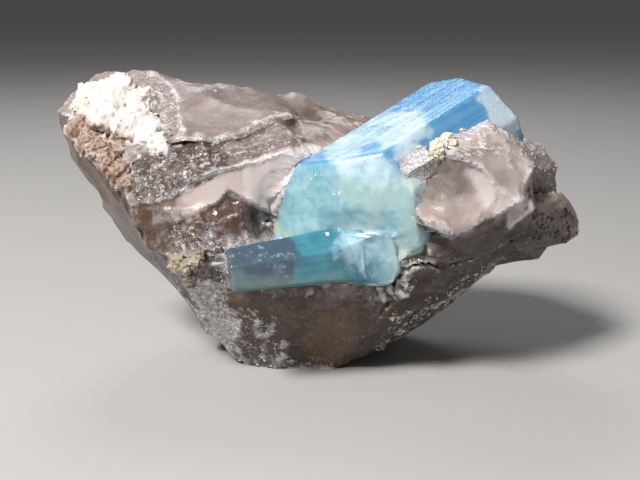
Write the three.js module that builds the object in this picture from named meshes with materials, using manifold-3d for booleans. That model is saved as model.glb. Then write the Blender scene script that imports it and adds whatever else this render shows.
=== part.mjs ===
// Smoky quartz specimen with two aquamarine crystals and crusts of feldspar.
// Millimetres, +Z up. +X runs along the stone's length, +Y from its show side to its back.
// The stone stands on a small natural break, and the origin is the centre of its footprint box.

import * as THREE from 'three';
import { ConvexGeometry } from 'three/addons/geometries/ConvexGeometry.js';
import { ImprovedNoise } from 'three/addons/math/ImprovedNoise.js';
import { TessellateModifier } from 'three/addons/modifiers/TessellateModifier.js';
import { mergeVertices } from 'three/addons/utils/BufferGeometryUtils.js';
import Module from 'manifold-3d';

const wasm = await Module();
wasm.setup();

const degrees = THREE.MathUtils.degToRad;

// ---------------------------------------------------------------- driving dimensions

const CONTACT_GAP = 0.3; // between two minerals that meet
const QUARTZ_EDGE = 2.7; // longest edge left on the quartz's broken surface
const QUARTZ_SWELL = 0.16; // how far that surface swells and sinks

const BIG_RADIUS = 5.6; // large aquamarine, axis to prism edge
const BIG_CENTRE = [2.2, -5.1, 12.7]; // on its axis, at the broken end
const BIG_AZIMUTH = 39.4; // axis, from +X towards +Y
const BIG_RISE = 21; // axis, above the horizontal
const BIG_LENGTH = 15.8; // from the broken end to the top of the worn end
const BIG_ROOT = 5; // run of the full prism in front of its centre, before it is broken off
const BIG_BEVEL = 0.79; // of the radius: the narrow face that takes off the prism's front edge
const BREAK_ALONG = -0.6; // where the break crosses its axis
const BREAK_RADIUS = 20; // of the gently domed break

const SMALL_LEFT = [-6.3, -6.5, 9.6]; // small aquamarine, middle of its free end
const SMALL_AZIMUTH = 11.5;
const SMALL_RISE = 5.5;
const SMALL_RADII = [1.72, 2.35]; // axis to prism edge, free end and buried end
const SMALL_LENGTH = 11.4;

// ---------------------------------------------------------------- solids

/** A geometry welded by position alone. */
function welded(geometry) {
  const bare = geometry.clone();
  for (const name of Object.keys(bare.attributes)) {
    if (name !== 'position') bare.deleteAttribute(name);
  }
  return mergeVertices(bare, 1e-4);
}

/** A closed geometry as a manifold solid. */
function solid(geometry) {
  const merged = welded(geometry);
  return new wasm.Manifold(
    new wasm.Mesh({
      numProp: 3,
      vertProperties: new Float32Array(merged.attributes.position.array),
      triVerts: new Uint32Array(merged.index.array),
    }),
  );
}

/** A manifold solid as a three.js geometry with one vertex per corner. */
function geometryOf(made) {
  const mesh = made.getMesh();
  const position = new Float32Array(mesh.numVert * 3);
  for (let i = 0; i < mesh.numVert; i++) {
    position.set(mesh.vertProperties.subarray(i * mesh.numProp, i * mesh.numProp + 3), i * 3);
  }
  const geometry = new THREE.BufferGeometry();
  geometry.setAttribute('position', new THREE.BufferAttribute(position, 3));
  geometry.setIndex(new THREE.BufferAttribute(new Uint32Array(mesh.triVerts), 1));
  return geometry;
}

/** The largest body in a geometry; the splinters that a cut leaves loose fall away. */
function mainBody(geometry) {
  const index = welded(geometry).index.array;
  const parent = Array.from({ length: geometry.attributes.position.count }, (_, i) => i);
  const root = (i) => {
    while (parent[i] !== i) i = parent[i] = parent[parent[i]];
    return i;
  };
  for (let i = 0; i < index.length; i += 3) {
    parent[root(index[i])] = root(index[i + 1]);
    parent[root(index[i + 2])] = root(index[i + 1]);
  }
  const size = new Map();
  for (const corner of index) size.set(root(corner), (size.get(root(corner)) ?? 0) + 1);
  const largest = [...size].sort((p, q) => q[1] - p[1])[0][0];
  const kept = [];
  for (let i = 0; i < index.length; i += 3) {
    if (root(index[i]) === largest) kept.push(index[i], index[i + 1], index[i + 2]);
  }
  const body = welded(geometry);
  body.setIndex(kept);
  return welded(body.toNonIndexed());
}

const join = (solids) => solids.reduce((all, one) => all.add(one));
const cutAway = (body, tools) => tools.reduce((left, tool) => left.subtract(tool), body);

/** A chunk of stone: the tight skin round its corners. */
const chunk = (corners) => solid(new ConvexGeometry(corners.map((c) => new THREE.Vector3(...c))));

/** The hollow left by a shell-shaped fracture: a ball, stretched along its axes. */
function scoop(centre, radii, turn = [0, 0, 0]) {
  const ball = new THREE.IcosahedronGeometry(1, Math.ceil(Math.max(...radii) * 0.7)).scale(...radii);
  const turned = new THREE.Matrix4().makeRotationFromEuler(new THREE.Euler(...turn.map(degrees)));
  return solid(ball.applyMatrix4(turned).translate(...centre));
}

// ---------------------------------------------------------------- noise

const perlin = new ImprovedNoise();

/** Smooth sideways and up-and-down drift of a point, each part within about one. */
function drift(point, size) {
  const [x, y, z] = [point.x / size, point.y / size, point.z / size];
  return new THREE.Vector3(
    perlin.noise(x + 11.3, y + 4.7, z + 2.9),
    perlin.noise(x + 31.7, y + 17.9, z + 8.3),
    perlin.noise(x + 5.1, y + 23.3, z + 41.9),
  );
}

/** A solid cut into short edges and swollen by smooth noise; what lies on the ground stays flat. */
function weathered(made, edge, swell) {
  const fine = welded(new TessellateModifier(edge, 14).modify(geometryOf(made)));
  const spot = new THREE.Vector3();
  for (let i = 0; i < fine.attributes.position.count; i++) {
    spot.fromBufferAttribute(fine.attributes.position, i);
    if (spot.z < 0.02) continue;
    const push = drift(spot, 3.1).multiplyScalar(1.6).addScaledVector(drift(spot, 1.3), 0.8);
    spot.addScaledVector(push, swell * Math.min(1, spot.z / 1.5));
    spot.z = Math.max(spot.z, 0.02);
    fine.attributes.position.setXYZ(i, spot.x, spot.y, spot.z);
  }
  return solid(fine);
}

// ---------------------------------------------------------------- smoky quartz

// The left end behind the front ridge: a wedge that leans out over the ground.
const leftWing = chunk([
  [-20.1, 2, 19.9], [-20.3, 2.5, 19.7], [-18.8, 3, 21.5], [-17.4, 4, 22.8], [-15, 4, 23.1],
  [-13.1, 4, 22.9], [-11.6, 4.2, 22.5], [-10.2, 4.4, 22.1],
  [-20, 3.5, 17.7], [-19.7, 4.2, 16], [-18.5, 4.8, 14.2], [-17.4, 4.8, 11.3], [-15.7, 4.2, 9.2],
  [-14.2, 3.4, 7.9], [-12.8, 2.8, 6.5], [-10.8, 1.8, 4.4],
  [-18.8, 0, 19.5], [-17.8, -1, 17.6], [-16.2, -2.2, 17.1], [-14.7, -3.2, 15.7], [-13.8, -3.8, 14.9],
  [-13.5, -4, 12.9],
  [-16.5, 9, 19.5], [-15.4, 10.2, 14], [-9, 11, 20], [-10, 11, 8], [-8, 5, 18], [-10, -3, 18.2],
]);

// The front mass under the long ridge, undercut towards the foot.
const frontLeft = chunk([
  [-13.8, -3.8, 14.9], [-13.5, -4, 12.9], [-12.5, -3.4, 10.7], [-11.8, -2.6, 8.7], [-10.6, -1.6, 5.9],
  [-9.7, 1, 3.2], [-8.6, 0.6, 2.2], [-7.4, 0.4, 1.2], [-6.6, 0.1, 0.5],
  [-11.1, -4.6, 14.4], [-8.3, -4.9, 16], [-6.3, -4.9, 16.7], [-3.9, -4.6, 17.2], [-1.7, -4.2, 17.9],
  [-0.1, -3.4, 18], [-9.9, -5.4, 13.1], [-8.3, -5.7, 13.9], [-6.4, -5.5, 14.4], [-4.9, -5, 13.9],
  [-8.4, -5.5, 11.6], [-6.7, -5.4, 11.2], [-10.1, -4.4, 8.7], [-7.7, -3.6, 6.6], [-5, -4.2, 6.8],
  [-1.3, -4.8, 6.9], [2.3, -4.9, 6.9], [0, -5.8, 9.4], [6, -5, 7.2], [5.6, -0.5, 1.9],
  [-6.4, 1.6, 0], [-5.4, -0.2, 0], [-4.4, -0.5, 0], [-1.4, -0.5, 0], [1, -1, 0], [3, 1.4, 0], [4.6, 4.8, 0],
  [5.6, 8.5, 0], [-5, 9.3, 0], [-8, 6.2, 0], [-11, 9.8, 8], [8, 10, 8], [6, 9, 15], [-8, 9, 16],
]);

// The step above it, between the long ridge and the ridge under the top ledge.
const upperStep = chunk([
  [-13.8, -3.8, 14.9], [-13.4, -4, 13.8], [-11.1, -4.6, 14.4], [-8.3, -5, 16], [-6.3, -5, 16.7],
  [-3.9, -4.7, 17.2], [-1.7, -4.2, 17.9], [-1.2, -2.4, 18.2], [-2.1, -0.6, 18.9], [-3.4, -0.5, 19.5],
  [-9.7, -3.1, 18.2], [-7.5, -3.1, 18.1], [-5.7, -2.5, 18.5], [-11, -3.2, 17.7],
  [-8, 9, 19], [-2, 9, 18.5], [-1, 3, 18.4], [2, 5, 12], [-12, 6, 10],
]);

// The top ledge, a plate that slopes up to the back.
const topLedge = chunk([
  [-11.2, -2.8, 18.6], [-9.7, -3, 18.6], [-7.5, -3, 18.5], [-5.7, -2.4, 18.9], [-5, -1.6, 19.2],
  [-3.4, -0.4, 19.9], [-1.8, 1, 19.9],
  [-12.3, 3, 22.1], [-9.8, 4, 21.9], [-7.1, 6, 21.7], [-3.8, 7, 20.8], [0.2, 8, 19.7], [2.2, 8, 19.5],
  [5, 8.5, 18.8], [-9, 10.5, 19.6], [0, 11.6, 17.5], [6, 11, 16], [-8, 10, 12], [6, 9, 10],
]);

// The rise between the top ledge and the big crystal.
const crystalBank = chunk([
  [-1.7, -4.2, 17.9], [-0.1, -3.4, 18], [1.9, -1.6, 18.5], [4.2, 1, 19], [-1.2, -2.4, 18.2],
  [-2.1, -0.6, 18.6], [-1.8, 1, 19.5], [0.2, 7.6, 19.4], [4.6, 8, 18.8], [2, 4, 12], [-3, -4, 12],
  [-3, 6, 14],
]);

// The mass behind the big crystal, out of sight from the show side.
const backMass = chunk([
  [5, 8.5, 18.8], [8, 9, 18], [12.5, 8.4, 16.6], [15.4, 6.6, 15.6],
  [-2, 11.8, 14], [6, 12.4, 12], [13, 11, 12], [17.6, 6, 12], [4, 10.8, 5], [10, 8, 6],
  [2, -2, 12], [12, -2, 12], [-6, 8, 16], [-6, 10.6, 6],
]);

// The right shoulder: the dusty top beside the big crystal and the broken face below it.
const rightShoulder = chunk([
  [12.3, -3, 20.1], [14.1, -1, 19.8], [15.7, 0, 19.1], [16.7, 0.4, 17.8], [17.9, 0.4, 16.7],
  [18.5, 0.6, 15.9], [18.5, 1, 14.1], [6, -7, 18.3], [8.1, -6.4, 18.4], [9.8, -5, 19.2],
  [8.4, -6.6, 18.3], [9.8, -6.9, 17.6], [11.3, -6.9, 17], [11.9, -6.9, 16.2], [12.8, -6.7, 15.1],
  [14, -6, 14.4], [15.1, -4.4, 16.5], [14.4, -5.2, 15.3], [5.9, -7.6, 17.3], [6.5, -8, 16.1],
  [7.4, -8.3, 13.4], [8.5, -8, 12.9], [9.3, -7.7, 12.4], [10.1, -7.5, 12.6], [11.4, -7.1, 13.3],
  [12.4, -6.7, 13.5], [16, 7, 14], [17.4, 4.5, 12.4], [15.6, -2, 12.4], [8, 5, 14], [4, -4, 12],
]);

// The shelf under the shoulder, with the rounded right tip.
const rightShelf = chunk([
  [15.4, -4.6, 14.9], [15.7, -4.2, 13.5], [13.6, -5.6, 12.6], [13.3, -5.9, 13.4],
  [18.5, 0.4, 14.1], [19.2, -0.5, 13.1], [20, 0, 11.8], [20, 0.2, 10.3], [19.1, -0.4, 9.8], [17.6, -1, 9.9],
  [8, -7.2, 12.2], [7.2, -7, 11], [9.6, -6.6, 10.4], [11.9, -5.6, 10.7], [13.4, -4.9, 11.2],
  [6.2, -7.2, 11.1], [6.4, -6.6, 9.4], [14, -3, 9.6], [17.6, 6, 12], [12, 8, 9], [10, 2, 8],
]);

// The lobe that hangs under the right tip, and the keel that runs down and back to the foot.
const rightLobe = chunk([
  [16.9, -0.6, 8.6], [14.3, -0.5, 8.3], [17.6, -1, 9.9], [16.8, -1.6, 9.8], [14.6, -4, 10.4], [12.6, -1, 8],
  [16.6, 3.6, 9.8], [12.6, 7, 10], [11.5, 0, 10],
]);
const rightKeel = chunk([
  [13.7, -0.2, 7.6], [13.2, 0, 7.1], [11.8, 0, 6.4], [8.9, 0, 4.2], [6.6, 0, 2.9],
  [5.7, -0.4, 1.9], [4.8, -0.6, 1.5], [2, -0.9, 1],
  [4.6, 4.8, 0.2], [5.6, 8.5, 0.2], [14, -3.4, 9.8], [12, -4.8, 10], [7, -6.6, 9.4], [6, -5.2, 6.8],
  [14, 5, 10], [12, 9, 9], [2, 6, 6],
]);

const roughQuartz = join([
  leftWing, frontLeft, upperStep, topLedge, crystalBank, backMass, rightShoulder, rightShelf, rightLobe,
  rightKeel,
]);

const fractures = [
  scoop([-6, -6.9, 15.5], [7, 2.6, 2.3], [0, -18, 0]), // the pale hollow left of the big crystal
  scoop([-1.8, -7.4, 15.2], [4.8, 3.5, 3], [0, -18, 0]), // its deep end beside the crystal
  scoop([-3, 2, 25.4], [9.4, 8.4, 5]), // the smooth top ledge
  scoop([1, 2.6, 22.9], [4.2, 5, 4.2], [0, 0, 30]), // the brown hollow between ledge and crystal
  scoop([10.7, -15, 16.9], [9.4, 8.4, 8], [0, 32, 0]), // the smooth dish on the right shoulder
  scoop([7.4, -9.1, 11.2], [1.9, 1.9, 1.6]), // the dark hollow under the dish
  scoop([-4.2, -2.7, 3.7], [0.55, 0.7, 0.5]), // a pit above the foot
];

// The opening in the quartz in front of the big crystal's broken face.
const opening = chunk([
  [-2.1, -4.1, 17.1], [4.2, -6.5, 18.3], [6.3, -7, 15.6], [6.9, -6.6, 10.9], [5.6, -5.5, 8.6],
  [0, -3, 8.8], [-2.4, -2.6, 10.4], [-4.6, -2.1, 12.2], [-4.1, -2.8, 14.2],
  [-2.4, -12, 18.7], [4.2, -12, 19.4], [6.6, -12, 16.7], [7, -12, 12.3], [5.2, -12, 10.3],
  [0, -12, 11.2], [-2.6, -12, 12.4], [-5.2, -12, 14.5], [-4.5, -12, 16.3],
]);

// ---------------------------------------------------------------- aquamarines

/** Unit vector from an azimuth (from +X towards +Y) and a rise above the horizontal, in degrees. */
const direction = (azimuth, rise) =>
  new THREE.Vector3(
    Math.cos(degrees(rise)) * Math.cos(degrees(azimuth)),
    Math.cos(degrees(rise)) * Math.sin(degrees(azimuth)),
    Math.sin(degrees(rise)),
  );

/** Axis, crest (square to the axis, towards the first prism edge) and flank of a crystal. */
function crystalAxes(azimuth, rise, towards) {
  const axis = direction(azimuth, rise);
  const crest = towards.clone().addScaledVector(axis, -towards.dot(axis)).normalize();
  return { axis, crest, flank: new THREE.Vector3().crossVectors(axis, crest) };
}

/** A six-sided prism along a crystal's axis, its radius given at both ends. */
function hexagonalPrism(axes, start, length, radii) {
  const geometry = new THREE.CylinderGeometry(radii[1], radii[0], length, 6).translate(0, length / 2, 0);
  const frame = new THREE.Matrix4().makeBasis(axes.flank, axes.axis, axes.crest).setPosition(start);
  return solid(geometry.applyMatrix4(frame));
}

/** Everything behind a plane through a point, as a block that faces along the normal. */
function behind(point, normal, size = 60) {
  const block = new THREE.BoxGeometry(size, size, size).translate(0, 0, -size / 2);
  const up = new THREE.Vector3(0, 0, 1);
  const turn = new THREE.Quaternion().setFromUnitVectors(up, normal.clone().normalize());
  return solid(block.applyQuaternion(turn).translate(...point));
}

const bigAxes = crystalAxes(BIG_AZIMUTH, BIG_RISE, new THREE.Vector3(-0.539, 0.204, 0.817));
const bigCentre = new THREE.Vector3(...BIG_CENTRE);
const bigPoint = (along, out = 0, turn = 0) =>
  bigCentre
    .clone()
    .addScaledVector(bigAxes.axis, along)
    .addScaledVector(bigAxes.crest, out * Math.cos(degrees(turn)))
    .addScaledVector(bigAxes.flank, out * Math.sin(degrees(turn)));

/** The worn far end: a turned shape whose few flats fall across the prism's own faces. */
function wornEnd(grow) {
  const profile = [
    [0, -BIG_ROOT], [9, -BIG_ROOT], [9, 10.9], [5.9, 13.3], [4.9, 14.5], [2.8, 15.3], [0, BIG_LENGTH],
  ].map(([out, along]) => new THREE.Vector2(out > 0 ? out + grow : 0, along > 0 ? along + grow : along));
  const lathe = new THREE.LatheGeometry(profile, 9, 0.35);
  const frame = new THREE.Matrix4().makeBasis(bigAxes.flank, bigAxes.axis, bigAxes.crest);
  return solid(lathe.applyMatrix4(frame.setPosition(bigCentre)));
}

/** The large aquamarine before it broke: a prism with one narrow bevel face. */
function bigPrism(grow) {
  const radius = BIG_RADIUS + grow;
  const length = BIG_ROOT + BIG_LENGTH + grow;
  const prism = hexagonalPrism(bigAxes, bigPoint(-BIG_ROOT), length, [radius, radius]);
  const bevel = BIG_RADIUS * BIG_BEVEL + grow;
  const bevelFacing = bigPoint(0, 1, 120).sub(bigCentre);
  return prism.intersect(behind(bigPoint(0, bevel, 120), bevelFacing)).intersect(wornEnd(grow));
}

// The break faces the show side and the left, and swells a little in the middle.
const breakFacing = bigAxes.axis.clone().negate();
breakFacing.addScaledVector(bigAxes.crest, -0.11).addScaledVector(bigAxes.flank, 0.6).normalize();
const breakBall = bigPoint(BREAK_ALONG).addScaledVector(breakFacing, 0.5 - BREAK_RADIUS);
const unbroken = (grow) =>
  solid(new THREE.IcosahedronGeometry(BREAK_RADIUS + grow, 14).translate(...breakBall));

const smallAxes = crystalAxes(SMALL_AZIMUTH, SMALL_RISE, new THREE.Vector3(0, -0.12, 1));
const smallLeft = new THREE.Vector3(...SMALL_LEFT);

/** The small aquamarine, with a chip off the lower corner of its free end. */
function smallPrism(grow) {
  const start = smallLeft.clone().addScaledVector(smallAxes.axis, -grow);
  const radii = SMALL_RADII.map((radius) => radius + grow);
  const chipFacing = new THREE.Vector3(-0.75, -0.1, -1).normalize();
  const chip = smallLeft.clone().addScaledVector(chipFacing, 1.5 + grow);
  const whole = hexagonalPrism(smallAxes, start, SMALL_LENGTH + 2 * grow, radii);
  return whole.intersect(behind(chip, chipFacing));
}

// ---------------------------------------------------------------- feldspar

/** A crumb of feldspar: a ball with about eighty flats, made uneven. */
function crumb([x, y, z, radius], grow) {
  const ball = welded(new THREE.IcosahedronGeometry(1, 1));
  const spot = new THREE.Vector3();
  for (let i = 0; i < ball.attributes.position.count; i++) {
    spot.fromBufferAttribute(ball.attributes.position, i);
    const uneven = 1 + 0.5 * drift(spot.clone().addScalar(x * 3.7 + z), 0.9).x;
    spot.multiplyScalar(radius * uneven + grow);
    ball.attributes.position.setXYZ(i, x + spot.x, y + spot.y, z + spot.z);
  }
  return solid(ball);
}

/** Crumbs grown together: centre x, y, z and radius of each. */
const crust = (crumbs, grow) => join(crumbs.map((one) => crumb(one, grow)));

const whiteCrumbs = [
  [-17, 1.7, 20.4, 1.6], [-15.3, 2.2, 20.8, 1.9], [-13.7, 1.5, 20.2, 1.8], [-15.7, 0.5, 19.3, 1.8],
  [-13.9, 0, 18.7, 1.9], [-12.5, -0.9, 18.3, 1.4], [-11.5, -1.9, 17.9, 1],
];
const rustyCrumbs = [
  [-17.8, 0.4, 18.8, 1.1], [-17, -0.3, 18.1, 1.2], [-16.1, -1, 17.4, 1.1], [-15.3, -1.7, 16.7, 1.1],
  [-14.5, -2.5, 16.1, 1], [-13.9, -3.2, 15.3, 0.8], [-14.8, -1.2, 17.6, 1.1],
];
const seamCrumbs = [[8.3, -6.2, 18.3, 0.7], [9.1, -5.6, 18.7, 0.6]];
const leftCrumbs = [[-10.2, -4.8, 9.7, 0.75], [-9.7, -5, 9.5, 0.6]];
const middleCrumbs = [[-8.7, -5.4, 10.1, 0.65], [-8.6, -5.5, 10.5, 0.5]];
const lowerCrumbs = [[-9.4, -4.5, 8.4, 0.6]];

const crusts = [
  { name: 'feldspar_patch', color: 0xe6d3c0, crumbs: [...whiteCrumbs, ...rustyCrumbs] },
  { name: 'feldspar_seam', color: 0xe8dcc0, crumbs: seamCrumbs },
  { name: 'feldspar_grain_left', color: 0xd8c8a4, crumbs: leftCrumbs },
  { name: 'feldspar_grain_middle', color: 0xd4c49c, crumbs: middleCrumbs },
  { name: 'feldspar_grain_lower', color: 0xcfbf9c, crumbs: lowerCrumbs },
];

// ---------------------------------------------------------------- the specimen

const SOCKET = CONTACT_GAP * 1.1; // a little over, since flats lie inside the curves they stand for

const quartz = cutAway(weathered(cutAway(roughQuartz, fractures), QUARTZ_EDGE, QUARTZ_SWELL), [
  opening,
  bigPrism(SOCKET).intersect(unbroken(SOCKET)),
  smallPrism(SOCKET),
  ...crusts.map(({ crumbs }) => crust(crumbs, SOCKET)),
]);

const specimen = new THREE.Group();

function add(name, made, color, roughness) {
  const material = new THREE.MeshStandardMaterial({ color, roughness, metalness: 0 });
  const mesh = new THREE.Mesh(mainBody(geometryOf(made)), material);
  mesh.name = name;
  specimen.add(mesh);
}

const bigAquamarine = bigPrism(0).intersect(unbroken(0)).subtract(smallPrism(SOCKET));

add('smoky_quartz', quartz, 0xa8988a, 0.25);
add('large_aquamarine', bigAquamarine, 0x7fc4e8, 0.2);
add('small_aquamarine', smallPrism(0), 0x5f9bb0, 0.2);
for (const { name, color, crumbs } of crusts) {
  add(name, crust(crumbs, 0).subtract(bigPrism(SOCKET)), color, 0.7);
}

// The origin goes to the middle of the footprint box, on the ground.
const bounds = new THREE.Box3().setFromObject(specimen, true);
const middle = bounds.getCenter(new THREE.Vector3());
specimen.position.set(-middle.x, -middle.y, -bounds.min.z);
specimen.updateMatrixWorld(true);

export default specimen;
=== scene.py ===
"""Smoky quartz with two aquamarines and feldspar crusts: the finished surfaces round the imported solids.

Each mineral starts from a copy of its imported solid. The quartz gets shell-shaped chips, bruised ridges
and frost, the aquamarines get growth lines and a cloudy break, and the feldspar crumbles. Marks on the
show side are placed in millimetres across and up, on a plane through the stone as the eye sees it.
Lengths are in millimetres unless a comment says otherwise.
"""

import logging
import math
import random
from dataclasses import dataclass
from enum import Enum
from typing import Iterable, Optional, Sequence, Union

import bmesh
import bpy
import numpy as np
from mathutils import Matrix, Vector, noise
from mathutils.bvhtree import BVHTree
from mathutils.kdtree import KDTree


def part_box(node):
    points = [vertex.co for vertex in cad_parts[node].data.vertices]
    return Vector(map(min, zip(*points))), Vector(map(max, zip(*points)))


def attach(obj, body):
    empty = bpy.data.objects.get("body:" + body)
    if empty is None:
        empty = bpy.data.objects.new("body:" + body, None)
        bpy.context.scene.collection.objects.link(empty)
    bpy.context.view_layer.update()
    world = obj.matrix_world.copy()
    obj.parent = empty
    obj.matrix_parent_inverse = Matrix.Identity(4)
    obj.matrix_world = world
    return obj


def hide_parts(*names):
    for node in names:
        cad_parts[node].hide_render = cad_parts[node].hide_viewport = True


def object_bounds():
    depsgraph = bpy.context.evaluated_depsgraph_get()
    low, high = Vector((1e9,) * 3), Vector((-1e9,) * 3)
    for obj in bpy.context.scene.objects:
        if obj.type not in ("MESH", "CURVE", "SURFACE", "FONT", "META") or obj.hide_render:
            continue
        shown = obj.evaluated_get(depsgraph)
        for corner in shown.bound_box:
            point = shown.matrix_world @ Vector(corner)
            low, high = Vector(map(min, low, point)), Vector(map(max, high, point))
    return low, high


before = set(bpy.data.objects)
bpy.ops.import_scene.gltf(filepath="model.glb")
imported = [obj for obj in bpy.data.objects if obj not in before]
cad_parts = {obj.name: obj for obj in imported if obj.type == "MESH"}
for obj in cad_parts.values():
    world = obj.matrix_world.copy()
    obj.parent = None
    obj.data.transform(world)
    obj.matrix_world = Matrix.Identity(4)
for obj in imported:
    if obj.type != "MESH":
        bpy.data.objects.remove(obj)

CAD_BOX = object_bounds()
MM = 0.001
LOG = logging.getLogger("specimen")

FAR = 99.0  # further than anything on the stone
WELD = 0.002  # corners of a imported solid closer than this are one
REMESH_FILL = 0.9  # the most of the remesh grid that a piece takes up
SEAT = 0.03  # how far a surface goes into the piece that it is drawn up to
RIPPLE_WAY = (3.1, 1.7, 2.3)  # the way that the rings in a chip run, and how close they are

Point = tuple[float, float]
Span = tuple[float, float]
Place = tuple[float, float, float]
Colour = tuple[float, float, float]


class Slot(Enum):
    """Names of the finishes; each piece's description holds one, though nothing in the script reads it."""

    SMOKY_QUARTZ = "smoky_quartz"
    AQUAMARINE = "aquamarine"
    DARK_AQUAMARINE = "dark_aquamarine"
    WHITE_FELDSPAR = "white_feldspar"
    CREAM_FELDSPAR = "cream_feldspar"


# ---------------------------------------------------------------- the eye and the show side


@dataclass(frozen=True)
class Eye:
    """Where the stone is looked at from, which also lays out the marks on its show side.

    Lengths are measured from the middle of the stone's foot; the tilt is in degrees.
    """

    across: float = 0.2
    back: float = 75.2
    height: float = 28.5
    tilt: float = 14.0
    lens: float = 55.0
    plane: float = 75.0
    clip: Span = (5.0, 50000.0)

    def place(self) -> Vector:
        """The eye's place in millimetres."""
        return Vector((self.across, -self.back, self.height))

    def turn(self) -> Matrix:
        """The camera's turn: it looks along +Y and a little down."""
        return Matrix.Rotation(math.radians(90 - self.tilt), 4, "X")

    def seen(self, spots: np.ndarray) -> np.ndarray:
        """Lays points out on the show plane.

        Args:
            spots: points in millimetres, one row each.

        Returns:
            Their millimetres across and up on the show plane, one row each.
        """
        turn = np.array(self.turn().to_3x3())
        local = (spots - np.array(self.place())) @ turn
        return local[:, :2] / -local[:, 2:] * self.plane


EYE = Eye()


def smooth_step(values: np.ndarray, low: float, high: float) -> np.ndarray:
    """Smoothly rises from 0 at low to 1 at high."""
    t = np.clip((values - low) / (high - low), 0, 1)
    return t * t * (3 - 2 * t)


def drift(spots: np.ndarray, size: float, seed: float = 0.0) -> np.ndarray:
    """Smooth noise at points.

    Args:
        spots: points in millimetres, one row each.
        size: millimetres over which the noise changes.
        seed: shifts the noise, so that two calls differ.

    Returns:
        One number from about -1 to 1 for each point.
    """
    shift = Vector((seed * 7.3, seed * 3.1, seed * 5.7))
    return np.array([noise.noise(Vector(p) / size + shift) for p in spots])


@dataclass(frozen=True)
class Layer:
    """One layer of unevenness: the millimetres over which it changes, its height and its seed."""

    size: float
    height: float
    seed: float


def uneven(spots: np.ndarray, layers: Sequence[Layer]) -> np.ndarray:
    """Adds layers of smooth noise up.

    Args:
        spots: points in millimetres, one row each.
        layers: the layers.

    Returns:
        One number for each point, in the unit of the layers' heights.
    """
    return sum(layer.height * drift(spots, layer.size, layer.seed) for layer in layers)


def box_of(node: str) -> tuple[np.ndarray, np.ndarray]:
    """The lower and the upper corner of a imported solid's box, in millimetres."""
    low, high = (np.array(corner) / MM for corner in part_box(node))
    return low, high


# ---------------------------------------------------------------- skins


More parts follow.
